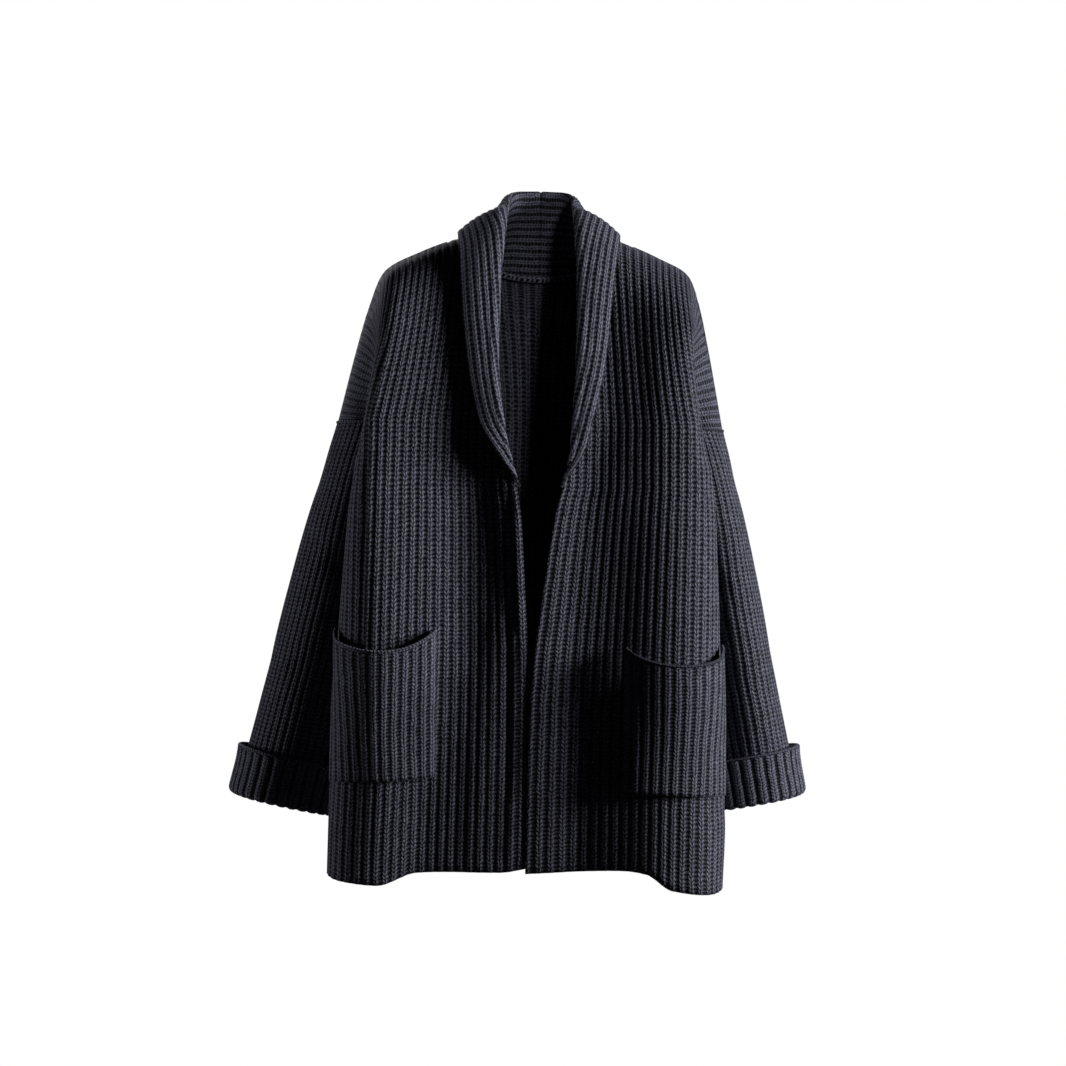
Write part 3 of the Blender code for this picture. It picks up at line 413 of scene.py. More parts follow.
def upperRows(loopOf, side, across, up, crest, name, top):
    # Inside the crest: hermite(level, shoulder seam) plus the crest's pull, squared
    # across. Outside it: Coons patch between crest, armhole, level and arm line.
    level = loopOf(side, cut["armholeLevel"])
    share = crestShare(level)
    foot = alongPolyline(level, across)
    below = alongPolyline(loopOf(side, cut["armholeLevel"] - cut["slopeStep"]), across)
    slope = (foot - below) / cut["slopeStep"] * cut["levelSlope"]
    over = np.array(overShoulder[name])
    columnTop = top(np.where(across <= share, across / share, 1 + (across - share) / (1 - share)))
    body = hermite(foot, columnTop, slope, over, up)
    ridgeFoot = alongPolyline(level, share)
    ridgeTop = np.array(shoulder[side][shoulderTip])
    ridge = spline(crestLevels, (ridgeFoot,) + crest + (ridgeTop,), up)
    lower = alongPolyline(loopOf(side, cut["armholeLevel"] - cut["slopeStep"]), share)
    ridgeSlope = (ridgeFoot - lower) / cut["slopeStep"] * cut["levelSlope"]
    atRidge = hermite(ridgeFoot, ridgeTop, ridgeSlope, over, up)
    body = body + np.clip(across / share, 0, 1)[:, None] ** 2 * (ridge - atRidge)
    beyond = np.clip((across - share) / (1 - share), 0, 1)[:, None]
    ring, underArm, overArm = armhole(side, np.array([up, 0.0, 1.0]), name)
    patch = ((1 - up) * foot + up * columnTop + (1 - beyond) * ridge + beyond * ring
             - (1 - beyond) * ((1 - up) * ridgeFoot + up * ridgeTop)
             - beyond * ((1 - up) * underArm + up * overArm))
    return np.where(across[:, None] <= share, body, patch)


def frontPoints(side, across, up):
    # The front's rows below and above the armhole level.
    if up <= 0:
        return lowerRows(frontLoop, side, hem[side], across, up)
    return upperRows(frontLoop, side, across, up, frontCrest[side], "front",
                     lambda share: shoulderLine(side, share))


def backTop(side, share):
    # Back neck (x sin t, d cos^p t, -h cos^p t), then the shoulder seam.
    neck = cut["highShoulder"][0] / shoulder[side][shoulderTip][0]
    turn = np.clip(share / neck, 0, 1) * math.pi / 2
    reach = np.cos(turn) ** cut["neckRoundness"]
    x, y, z = cut["highShoulder"]
    curve = np.stack([x * np.sin(turn), y + cut["backNeckDepth"] * reach,
                      z - cut["backNeckDrop"] * reach], axis=-1)
    return np.where((share < neck)[:, None], curve, shoulderLine(side, share))


def backPoints(side, across, up):
    # The back's rows below and above the armhole level.
    if up <= 0:
        return lowerRows(backLoop, side, hem["back"], across, up)
    return upperRows(backLoop, side, across, up, backCrest, "back",
                     lambda share: backTop(side, share))


def neckShare(side, up):
    # Neck edge's distance from the centre line over the section's length.
    level = cut["armholeLevel"]
    height = level + (hem[side][0][1] - level) * max(-up, 0)
    loop = frontLoop(side, height)
    start = float(spline(*zip(*neckEdge[side]), height)) / runOf(loop)[-1]
    if up <= 0:
        return start
    atShoulder = crestShare(loop) * cut["highShoulder"][0] / shoulder[side][shoulderTip][0]
    return start + (atShoulder - start) * up


panel = {
    "pitchTop": 0.0094, "pitchHem": 0.0098, "edgeFan": 9.0,  # rib pitch, and the fan in ribs
    "frontRibs": 46, "backRibs": 36,
    "dropClose": 0.28, "dropReach": 0.3,  # ribs stand closer outside the crest
    "dropCalm": 0.5, "dropFade": 0.15, "dropFrom": -0.5, "dropTo": 1.0,  # and lower there
    "rowsBelow": 54, "rowsAbove": 28, "stitchesBelow": 103, "stitchesAbove": 41, "closer": 0.09,
}
# Soft folds: each runs from one point to another as x, z, with its half width and its
# depth outwards (below 0 it is a trough). x is counted from the centre line.
frontFolds = {
    "left": (
        (0.088, -0.300, 0.086, -0.640, 0.030, -0.0030), (0.166, -0.300, 0.174, -0.640, 0.020, 0.0024),
        (0.070, -0.520, 0.062, -0.720, 0.012, -0.0010), (0.006, -0.420, 0.004, -0.720, 0.012, 0.0012),
        (0.100, -0.060, 0.120, -0.200, 0.015, -0.0010), (0.204, -0.640, 0.206, -0.760, 0.026, 0.0030),
        (0.190, -0.300, 0.195, -0.460, 0.012, 0.0012), (0.181, -0.100, 0.196, -0.262, 0.0100, -0.0085)),
    "right": (
        (0.076, -0.270, 0.062, -0.500, 0.026, -0.0036), (0.186, -0.100, 0.202, -0.262, 0.0085, -0.0060),
        (0.0245, -0.300, 0.0160, -0.460, 0.009, 0.0024), (0.0160, -0.460, 0.0145, -0.720, 0.009, 0.0022),
        (0.0290, -0.290, 0.0225, -0.460, 0.006, -0.0032), (0.0225, -0.460, 0.0200, -0.640, 0.006, -0.0028),
        (0.148, -0.560, 0.150, -0.720, 0.022, 0.0030), (0.072, -0.580, 0.076, -0.720, 0.012, -0.0012),
        (0.060, -0.240, 0.038, -0.440, 0.018, -0.0045), (0.095, -0.070, 0.110, -0.190, 0.014, -0.0008),
        (0.172, -0.120, 0.190, -0.260, 0.009, 0.0022), (0.190, -0.260, 0.212, -0.500, 0.010, 0.0030)),
}
backFolds = (
    (-0.120, -0.180, -0.060, -0.520, 0.018, -0.0042), (0.110, -0.160, 0.070, -0.480, 0.017, -0.0040),
    (-0.030, -0.330, -0.050, -0.720, 0.020, 0.0040), (0.040, -0.380, 0.030, -0.720, 0.022, 0.0036),
    (-0.150, -0.300, -0.165, -0.720, 0.016, 0.0045), (0.150, -0.340, 0.170, -0.720, 0.018, 0.0042),
    (-0.090, -0.480, -0.100, -0.720, 0.014, -0.0034), (0.100, -0.420, 0.105, -0.720, 0.015, -0.0036),
    (-0.070, -0.080, 0.080, -0.090, 0.014, 0.0022))


def stitchRows():
    # Levels of the mesh's rows, hem (-1) to shoulder (1), even on each side of 0.
    below = -np.linspace(1, 0, panel["rowsBelow"], endpoint=False)
    return np.concatenate([below, np.linspace(0, 1, panel["rowsAbove"] + 1)])


def ribShares(loopOf, side, up, u, edge=None, foot=None):
    # Share across of rib u: u pitch / length, fanned near a slanting front edge by
    # (edge - foot rib x pitch) exp(-(u - foot rib)/fan). Outside the crest the ribs
    # above the armhole level stand closer: crest + (share - crest)/closer.
    level = cut["armholeLevel"]
    down = max(-up, 0.0)
    height = level + (hem["back"][0][1] - level) * down
    loop = loopOf(side, height)
    length = runOf(loop)[-1]
    pitch = panel["pitchTop"] + (panel["pitchHem"] - panel["pitchTop"]) * down
    at = u * pitch
    if foot is not None and up < collarEnd:
        fan = np.exp(-np.maximum(u - foot, -2) / panel["edgeFan"])
        at = at + (edge * length - foot * pitch) * fan
    share = at / length
    crest = crestShare(loop)
    closer = 1 + panel["dropClose"] * smoothStep(0, panel["dropReach"], up)
    return np.where(share > crest, crest + (share - crest) / closer, share)


def halfSheet(side, loopOf, pointsOf, ribs, foot=None):
    # Grid of mesh rows by rib samples from the centre line or the neck's edge to the side
    # seam, with each row's first and last column. foot is the rib at the collar's foot.
    u = np.arange(0, ribs * cloth["samplesPerRib"] + 1) / cloth["samplesPerRib"]
    rows, uRows, first, last = [], [], [], []
    for up in stitchRows():
        edge = 0.0 if foot is None else neckShare(side, up)
        share = ribShares(loopOf, side, up, u, edge, foot)
        across = np.clip(share, edge, 1.0)
        rows.append(mirrored(pointsOf(side, across, up), side))
        uRows.append(np.interp(across, share, u))
        first.append(max(int((share <= edge).sum()) - 1, 0))
        last.append(min(int((share < 1.0).sum()), len(u) - 1))
    return np.array(rows), np.array(uRows), np.array(first), np.array(last)


def frontSheet(side):
    # One front, its ribs fanned about the rib that meets the collar's foot: edge / pitch.
    level = cut["armholeLevel"]
    length = runOf(frontLoop(side, level + (hem[side][0][1] - level) * -collarEnd))[-1]
    pitch = panel["pitchTop"] + (panel["pitchHem"] - panel["pitchTop"]) * -collarEnd
    foot = neckShare(side, collarEnd) * length / pitch
    return halfSheet(side, frontLoop, frontPoints, panel["frontRibs"], foot)


def backSheet():
    # The whole back: the right half's columns reversed, then the left half's.
    right, left = (halfSheet(side, backLoop, backPoints, panel["backRibs"])
                   for side in ("right", "left"))
    points = np.concatenate([right[0][:, :0:-1], left[0]], axis=1)
    u = np.concatenate([-right[1][:, :0:-1], left[1]], axis=1)
    middle = left[0].shape[1] - 1
    return points, u + 0.5, middle - right[3], middle + left[3]


def panelNormals(points, first, last, sign):
    # Grid normals, turned so that y has the sign along the middle column.
    normals = gridNormals(points, first, last)
    lean = normals[:panel["rowsBelow"], points.shape[1] // 2, 1].sum()
    return normals * (sign * np.sign(lean))


def panelShell(name, grid, sign, folds, foldX):
    # Points + fold height x normal, then a wall with the rib's relief on both faces,
    # lower outside the crest. Stitches: (1 + up)(1 - closer up) x the count below the
    # armhole level, evenly spaced above it.
    points, u, first, last = grid
    bend = foldHeight(foldX(points[..., 0]), points[..., 2], folds)
    points = points + panelNormals(points, first, last, sign) * bend[..., None]
    normals = panelNormals(points, first, last, sign)
    levels = stitchRows()
    loop = frontLoop("left", cut["armholeLevel"])
    crest = crestShare(loop) * runOf(loop)[-1] / panel["pitchTop"]
    drop = (smoothStep(crest + panel["dropFrom"], crest + panel["dropTo"], np.abs(u))
            * smoothStep(0, panel["dropFade"], levels)[:, None])
    relief = ribHeight(u) * (1 - panel["dropCalm"] * drop)
    outer = cloth["halfWall"] + cloth["ridge"] * relief
    inner = cloth["halfWall"] + cloth["innerRidge"] * relief
    v = np.where(levels < 0, (1 + levels) * (1 - panel["closer"] * levels) * panel["stitchesBelow"],
                 panel["stitchesBelow"] + levels * panel["stitchesAbove"])
    v = np.broadcast_to(v[:, None], u.shape)
    return shell(name, points, normals, outer, inner, u, v, first, last)


# The sleeves, with the ring both panels' armholes share.
sleeveSections = {  # share along, centre x y z, half width, half depth, degrees of tilt
    "left": ((0.00, 0.1750, 0.030, -0.2150, 0.0405, 0.0580, 0.0),
             (0.10, 0.1860, 0.030, -0.2580, 0.0400, 0.0570, 1.0),
             (0.25, 0.1965, 0.031, -0.3200, 0.0440, 0.0560, 3.0),
             (0.50, 0.2150, 0.032, -0.4290, 0.0505, 0.0530, 6.0),
             (1.00, 0.2547, 0.034, -0.6430, 0.0590, 0.0470, 11.0)),
    "right": ((0.00, 0.1810, 0.030, -0.2150, 0.0465, 0.0580, 0.0),
              (0.10, 0.1930, 0.030, -0.2580, 0.0460, 0.0570, 1.0),
              (0.25, 0.2065, 0.031, -0.3230, 0.0495, 0.0565, 3.0),
              (0.50, 0.2295, 0.032, -0.4350, 0.0535, 0.0535, 6.0),
              (1.00, 0.2780, 0.034, -0.6560, 0.0590, 0.0470, 11.0)),
}
sleeve = {"ribs": 40, "rows": 56, "cuffSeam": 0.016, "stitch": 0.0049, "girth": 0.33,
          "lastPart": 0.125, "fade": 0.06}
# On a sleeve a fold runs between two places as turns, share along.
sleeveFolds = {
    "left": (
        (0.30, 0.40, 0.05, 0.47, 0.022, -0.0040), (0.28, 0.50, 0.05, 0.55, 0.020, -0.0032),
        (0.75, 0.42, 0.98, 0.50, 0.022, -0.0036), (0.22, 0.10, 0.30, 0.36, 0.030, 0.0030),
        (0.33, 0.04, 0.33, 0.98, 0.024, 0.0080), (0.215, 0.04, 0.215, 0.98, 0.020, -0.0045),
        (0.45, 0.15, 0.55, 0.60, 0.030, 0.0026), (0.70, 0.08, 0.62, 0.40, 0.028, 0.0030),
        (0.10, 0.62, 0.34, 0.70, 0.022, -0.0028)),
    "right": (
        (0.32, 0.36, 0.04, 0.44, 0.022, -0.0038), (0.26, 0.47, 0.03, 0.53, 0.020, -0.0030),
        (0.72, 0.38, 0.97, 0.47, 0.022, -0.0036), (0.24, 0.08, 0.33, 0.34, 0.030, 0.0028),
        (0.42, 0.18, 0.52, 0.64, 0.030, 0.0028), (0.68, 0.10, 0.60, 0.42, 0.028, 0.0028),
        (0.12, 0.60, 0.36, 0.67, 0.022, -0.0030)),
}


def tilted(points, centre, degreesDown):
    # Turn about the y axis through the centre by the angle.
    angle = math.radians(degreesDown)
    x = points[:, 0] - centre[0]
    z = points[:, 2] - centre[2]
    return np.stack([centre[0] + x * math.cos(angle) - z * math.sin(angle), points[:, 1],
                     centre[2] + x * math.sin(angle) + z * math.cos(angle)], axis=-1)


def sleeveSection(side, along, turns):
    # Oval ring: centre - (a cos t, b sin t), tilted.
    keys = np.array(sleeveSections[side])[:, 0]
    row = spline(keys, np.array(sleeveSections[side])[:, 1:], along)
    centre, halfWidth, halfDepth, tilt = row[:3], row[3], row[4], row[5]
    angle = 2 * math.pi * turns
    ring = np.stack([centre[0] - halfWidth * np.cos(angle),
                     centre[1] - halfDepth * np.sin(angle),
                     np.full_like(angle, centre[2])], axis=-1)
    return tilted(ring, centre, tilt)


def armhole(side, share, name):
    # The sleeve's first ring by share from underarm to shoulder, in front or behind.
    return sleeveSection(side, 0.0, share / 2 if name == "front" else -share / 2)


def sleeveAxis(side, turns):
    # Centre of the end less the centre of the section one last part before it.
    before, end = (sleeveSection(side, along, turns)[:-1].mean(axis=0)
                   for along in (1 - sleeve["lastPart"], 1.0))
    return end - before


def sleeveShell(side):
    # Rings of the oval sections by share along, moved out by the folds on the unrolled
    # tube (turns x girth, along x length), faded out at both ends.
    columns = sleeve["ribs"] * cloth["samplesPerRib"] + 1
    turns = np.linspace(0, 1, columns)
    length = np.linalg.norm(sleeveAxis(side, turns)) / sleeve["lastPart"]
    stop = 1 - sleeve["cuffSeam"] / length
    alongs = np.linspace(0, stop, sleeve["rows"] + 1)
    points = np.array([mirrored(sleeveSection(side, along, turns), side) for along in alongs])
    normals = tubeNormals(points)
    t = np.broadcast_to(turns[None, :], points.shape[:2])
    a = np.broadcast_to(alongs[:, None], points.shape[:2])
    reach = length / sleeve["girth"]
    folds = [(t0, a0 * reach, t1, a1 * reach, width / sleeve["girth"], depth)
             for t0, a0, t1, a1, width, depth in sleeveFolds[side]]
    bend = sum(foldHeight(t + whole, a * reach, folds) for whole in (0, -1, 1))
    fade = smoothStep(0.0, sleeve["fade"], a) * (1 - smoothStep(stop - sleeve["fade"], stop, a))
    points = points + normals * (bend * fade)[..., None]
    normals = tubeNormals(points)
    u = t * sleeve["ribs"]
    relief = ribHeight(u)
    outer = cloth["halfWall"] + cloth["ridge"] * relief
    inner = cloth["halfWall"] + cloth["innerRidge"] * relief
    v = a * length / sleeve["stitch"]
    first = np.zeros(len(alongs), int)
    return shell("sleeveCloth_" + side, points, normals, outer, inner, u, v,
                 first, first + columns - 1, closed=True)


# The turned-back cuffs; each wave is its count round, its start and its height.
cuff = {
    "ribs": 33, "stitch": 0.0036, "ridge": 0.0014, "depth": 0.053, "standOff": 0.0078,
    "hem": 0.016, "flare": 0.0026, "swell": 0.0016, "lip": 0.0020, "lipOut": 0.0008,
    "waves": ((3, 0.15, 0.0012), (5, 0.60, 0.0009)), "bendRows": 9, "innerRows": 4, "outerRows": 13,
}


def cuffShell(side):
    # J profile of (outwards, along): down inside, half a circle at the bottom, up outside
    # to the free edge, which flares by f^3. Round the cuff it waves by the sines.
    columns = cuff["ribs"] * cloth["samplesPerRib"] + 1
    turns = np.linspace(0, 1, columns)
    axis = mirrored(sleeveAxis(side, turns), side)
    axis /= np.linalg.norm(axis)
    start = mirrored(sleeveSection(side, 1.0, turns), side) - axis * cuff["hem"]
    spokes = start - start[:-1].mean(axis=0)
    spokes -= (spokes @ axis)[:, None] * axis
    spokes /= np.linalg.norm(spokes, axis=-1, keepdims=True)
    half = cuff["standOff"] / 2
    bend = np.linspace(0, math.pi, cuff["bendRows"])
    down = [(0.0, d) for d in np.linspace(0, cuff["hem"] - half, cuff["innerRows"])[:-1]]
    turn = [(half - half * math.cos(a), cuff["hem"] - half + half * math.sin(a)) for a in bend]
    upper = [(cuff["standOff"], cuff["hem"] - half - (cuff["depth"] - half) * f)
             for f in np.linspace(0, 1, cuff["outerRows"])[1:]]
    profile = np.array(down + turn + upper)
    swell = cuff["swell"] * np.sin(np.linspace(0, math.pi, len(profile))) ** 2
    wave = sum(height * np.sin(2 * math.pi * (count * turns + start0))
               for count, start0, height in cuff["waves"])
    lean = np.clip(profile[:, 0] / cuff["standOff"], 0, 1)[:, None] * wave[None, :]
    up = np.clip(1 - (profile[:, 1] - profile[-1, 1]) / cuff["depth"], 0, 1) * (profile[:, 0] > half)
    lean = lean + cuff["flare"] * (up ** 3)[:, None]
    outwards = profile[:, 0, None, None] + (swell[:, None] + lean)[..., None]
    points = start[None] + spokes[None] * outwards + axis * profile[:, 1, None, None]
    rows = len(profile)
    first = np.zeros(rows, int)
    normals = gridNormals(points, first, first + columns - 1, closed=True)
    normals = normals * np.sign(np.einsum("ck,ck->", normals[0], spokes))
    u = np.broadcast_to(turns[None, :] * cuff["ribs"], points.shape[:2])
    flat = np.concatenate([profile, np.zeros((rows, 1))], axis=1)
    v = np.broadcast_to((runOf(flat) / cuff["stitch"])[:, None], points.shape[:2])
    relief = ribHeight(u, 1.0)
    outer = cloth["halfWall"] + cloth["innerRidge"] * relief
    inner = cloth["halfWall"] + cuff["ridge"] * relief
    item = shell("cuffCloth_" + side, points, normals, outer, inner, u, v,
                 first, first + columns - 1, closed=True)
    return item, tube("cuffLip_" + side, points[-1] + spokes * cuff["lipOut"], cuff["lip"])


# The shawl collar.
collar = {
    "pitch": 0.0082, "ribs": 30, "ribsToRoll": 13.9, "ribsOnStand": 12.0,
    "roll": 0.0070, "rollOfWidth": 0.11, "fallBow": 0.4, "tip": 0.0045, "tipLean": 0.3,
    "ease": 0.02, "seamShare": 0.35, "rowsFront": 62, "rowsBack": 34,
    "standPoints": 10, "bendPoints": 13, "fallPoints": 12,
    "seamPoints": 25, "seamPointsBelow": 9, "backAside": 0.006, "backDown": 0.03,
}
collarColumns = ("seam", "folded", "rollX", "rollY", "rollZ", "edgeAcross", "edgeUp", "edgeLift")
collarSections = {
    "left": (
        (0.000, 0.0, 0.0300, -0.1050, -0.2840, 0.104, -0.145, 0.0075),
        (0.120, 1.0, 0.0392, -0.1005, -0.2475, 0.150, -0.070, 0.0105),
        (0.235, 1.0, 0.0405, -0.0975, -0.2110, 0.182, 0.010, 0.0145),
        (0.460, 1.0, 0.0430, -0.0840, -0.1380, 0.242, 0.290, 0.0145),
        (0.720, 1.0, 0.0425, -0.0570, -0.0550, 0.294, 0.580, 0.0115),
        (0.900, 1.0, 0.0385, -0.0320, 0.0020, 0.312, 0.810, 0.0090),
        (1.000, 1.0, 0.0370, -0.0120, 0.0230, 0.316, 1.000, 0.0075),
        (1.167, 1.0, 0.0365, 0.0100, 0.0375, 0.338, 0.875, 0.0075),
        (1.333, 1.0, 0.0370, 0.0330, 0.0475, 0.328, 0.760, 0.0075),
        (1.550, 1.0, 0.0335, 0.0510, 0.0550, 0.198, 0.755, 0.0075),
        (1.750, 1.0, 0.0225, 0.0625, 0.0592, 0.118, 0.740, 0.0075),
        (2.000, 1.0, 0.0000, 0.0665, 0.0605, 0.000, 0.730, 0.0075)),
    "right": (
        (0.000, 0.0, 0.0165, -0.1045, -0.2840, 0.062, -0.145, 0.0075),
        (0.120, 1.0, 0.0285, -0.1000, -0.2475, 0.114, -0.070, 0.0085),
        (0.235, 1.0, 0.0352, -0.0980, -0.2110, 0.178, 0.010, 0.0100),
        (0.460, 1.0, 0.0425, -0.0840, -0.1380, 0.246, 0.290, 0.0100),
        (0.720, 1.0, 0.0425, -0.0570, -0.0550, 0.292, 0.580, 0.0090),
        (0.900, 1.0, 0.0385, -0.0320, 0.0020, 0.306, 0.810, 0.0080),
        (1.000, 1.0, 0.0370, -0.0120, 0.0230, 0.311, 1.000, 0.0075),
        (1.167, 1.0, 0.0365, 0.0100, 0.0375, 0.336, 0.875, 0.0075),
        (1.333, 1.0, 0.0370, 0.0330, 0.0475, 0.324, 0.760, 0.0075),
        (1.550, 1.0, 0.0335, 0.0510, 0.0550, 0.194, 0.750, 0.0075),
        (1.750, 1.0, 0.0225, 0.0625, 0.0592, 0.114, 0.740, 0.0075),
        (2.000, 1.0, 0.0000, 0.0665, 0.0605, 0.000, 0.730, 0.0075)),
}


def softMin(value, top):
    # Soft minimum of v and t: (v + t - sqrt((v - t)^2 + 1)) / 2.
    return (value + top - np.sqrt((value - top) ** 2 + 1)) / 2


def pointAndNormal(side, pointsOf, across, up):
    # Panel point, and the cross product of short steps across and up from it, turned
    # away from the body.
    step = cut["probe"] if up < 0.5 else -cut["probe"]
    here, beside = pointsOf(side, np.array([across, across + cut["probe"]]), up)
    above = pointsOf(side, np.array([across]), up + step)[0]
    normal = np.cross(beside - here, (above - here) / np.sign(step))
    normal /= np.linalg.norm(normal)
    if normal[1] * (1 if pointsOf is backPoints else -1) < 0:
        normal = -normal
    return here, normal


def collarControls(side, seam, feet, normals, inward):
    # Section at each row: line up the stand, half a circle of radius r about the roll,
    # bowed line down the fall; blended to a straight band where folded is 0.
    rows = []
    for row in collarSections[side]:
        got = dict(zip(collarColumns, row))
        foot = spline(seam, feet, got["seam"])
        pointsOf = frontPoints if got["seam"] <= 1 else backPoints
        place, normal = pointAndNormal(side, pointsOf, got["edgeAcross"], got["edgeUp"])
        edge = place + normal * got["edgeLift"]
        roll = np.array([got["rollX"], got["rollY"], got["rollZ"]])
        width = np.linalg.norm(roll - foot) + np.linalg.norm(edge - roll)
        radius = min(collar["roll"], collar["rollOfWidth"] * width)
        rise = (roll - foot) / np.linalg.norm(roll - foot)
        out = spline(seam, normals, got["seam"])
        out = out - (out @ rise) * rise
        out /= np.linalg.norm(out)
        turn = np.linspace(0, math.pi, collar["bendPoints"])[:, None]
        bend = roll + radius * ((np.sin(turn) - 1) * rise + (1 - np.cos(turn)) * out)
        rising = np.linspace(0, 1, collar["standPoints"], endpoint=False)[:, None]
        stand = foot + rising * (bend[0] - foot)
        down = np.linspace(0, 1, collar["fallPoints"] + 1)[1:, None]
        bow = collar["fallBow"] * radius * np.sin(math.pi * down) * out
        fall = bend[-1] + down * (edge - bend[-1]) + bow
        folded = np.concatenate([stand, bend, fall])
        way = spline(seam, inward + collar["tipLean"] * normals, got["seam"])
        way = way / np.linalg.norm(way)
        flat = foot + np.linspace(0, 1, len(folded))[:, None] * collar["tip"] * way
        rows.append(flat + (folded - flat) * got["folded"])
    return np.array(rows)


def neckSeam(side):
    # Keys, points, normals and inward directions (run x normal) along the seam, from the
    # foot of the V (0) by the high shoulder (1) to centre back (2). Each normal is the
    # mean of five weighted 1, 2, 3, 2, 1.
    count = collar["seamPoints"]
    ups = np.concatenate([np.linspace(collarEnd, 0, collar["seamPointsBelow"])[:-1],
                          np.linspace(0, 1, count)])
    edge, edgeNormals = [], []
    for up in ups:
        here, normal = pointAndNormal(side, frontPoints, neckShare(side, up), up)
        edge.append(here)
        edgeNormals.append(normal)
    share = crestShare(backLoop(side, cut["armholeLevel"]))
    neck = share * cut["highShoulder"][0] / shoulder[side][shoulderTip][0]
    back, backNormals = [], []
    for f in np.linspace(1, 0, count)[1:]:
        here, beside = backPoints(side, np.array([neck * f, neck * f + collar["backAside"]]), 1.0)
        under = backPoints(side, np.array([neck * f]), 1 - collar["backDown"])[0]
        normal = np.cross(beside - here, here - under)
        normal *= np.sign(normal[1]) / np.linalg.norm(normal)
        back.append(here)
        backNormals.append(normal)
    feet = np.array(edge + back)
    normals = np.array(edgeNormals + backNormals)
    run = runOf(np.array(edge))
    seam = np.concatenate([run / run[-1], 2 - np.linspace(1, 0, count)[1:]])
    kernel = np.array([1, 2, 3, 2, 1]) / 9
    padded = np.concatenate([normals[:1]] * 2 + [normals] + [normals[-1:]] * 2)
    normals = np.stack([np.convolve(padded[:, k], kernel, "valid") for k in range(3)], axis=-1)
    normals /= np.linalg.norm(normals, axis=-1, keepdims=True)
    inward = np.cross(np.gradient(feet, axis=0), normals)
    inward /= np.linalg.norm(inward, axis=-1, keepdims=True)
    return seam, feet, normals, inward * np.sign(inward[-1, 2])


def collarShell(side):
    # Sections along the seam, each pulled to its foot by 1 - share^0.5, cut into ribs of
    # one pitch counted from the free edge. The count to the roll and the count on the
    # stand are held level by the soft minimum.
    seam, feet, normals, inward = neckSeam(side)
    keys = np.array(collarSections[side])[:, 0]
    at = np.concatenate([np.linspace(0, 1, collar["rowsFront"], endpoint=False),
                         np.linspace(1, 2, collar["rowsBack"] + 1)])
    sections = spline(keys, collarControls(side, seam, feet, normals, inward), at)
    foot = spline(seam, feet, at)
    pull = 1 - np.linspace(0, 1, sections.shape[1]) ** 0.5
    sections = sections + (foot - sections[:, 0])[:, None, :] * pull[None, :, None]
    sections[-1, :, 0] = 0.0  # the halves meet on the centre line
    samples = cloth["samplesPerRib"]
    u = np.arange(0, collar["ribs"] * samples + 1) / samples
    rollRow = collar["standPoints"] + collar["bendPoints"] // 2
    points, uRows, last = [], [], []
    for section in sections:
        line = section[::-1]
        run = runOf(line)
        fall = run[len(line) - 1 - rollRow]
        toRoll = softMin(fall / collar["pitch"], collar["ribsToRoll"])
        whole = toRoll + softMin((run[-1] - fall) / collar["pitch"], collar["ribsOnStand"])
        ribs = np.interp(run, [0, fall, run[-1]], [0, toRoll, whole])
        here = np.minimum(u, whole)
        points.append(np.stack([np.interp(here, ribs, line[:, k]) for k in range(3)], axis=-1))
        uRows.append(here)
        last.append(min(int((u < whole).sum()), len(u) - 1))
    points = mirrored(np.array(points), side)
    uRows, last = np.array(uRows), np.array(last)
    first = np.zeros(len(at), int)
    n = gridNormals(points, first, last)
    reference = mirrored(normals[-1], side)
    n = n * np.sign(n[-1, last[-1] - 3] @ reference)
    relief = ribHeight(uRows)
    run = runOf((points[:, 0] + mirrored(foot, side)) / 2)
    v = np.broadcast_to((run / cloth["stitch"])[:, None], uRows.shape)
    ease = smoothStep(0, collar["ease"], at)[:, None]
    face = cloth["halfWall"] + cloth["ridge"] * relief * ease
    face[-1] *= collar["seamShare"]  # a groove where they are joined
    return shell("collarCloth_" + side, points, n, face, face, uRows, v, first, last)


# The patch pockets: heights of their corners, and how far the mouth sags.
pocket = {
    "inner": 5 / 11, "pitch": 0.0112, "stitches": 36, "rows": 32, "columns": 110,
    "lift": 0.0048, "baggy": 0.004, "mouth": 0.010, "mouthFrom": 0.25,
    "relief": 0.8, "innerWall": 0.0008, "innerRidge": 0.0008, "trim": 0.0022, "trimOut": 0.0006,
    "searchFrom": -0.86, "searchTo": -0.42, "searchRows": 40,
    "left": {"topInner": -0.4640, "topOuter": -0.4600, "sag": 0.0215,
             "bottomInner": -0.6215, "bottomOuter": -0.6250},
    "right": {"topInner": -0.4480, "topOuter": -0.4500, "sag": 0.0235,
              "bottomInner": -0.6095, "bottomOuter": -0.6190},
}


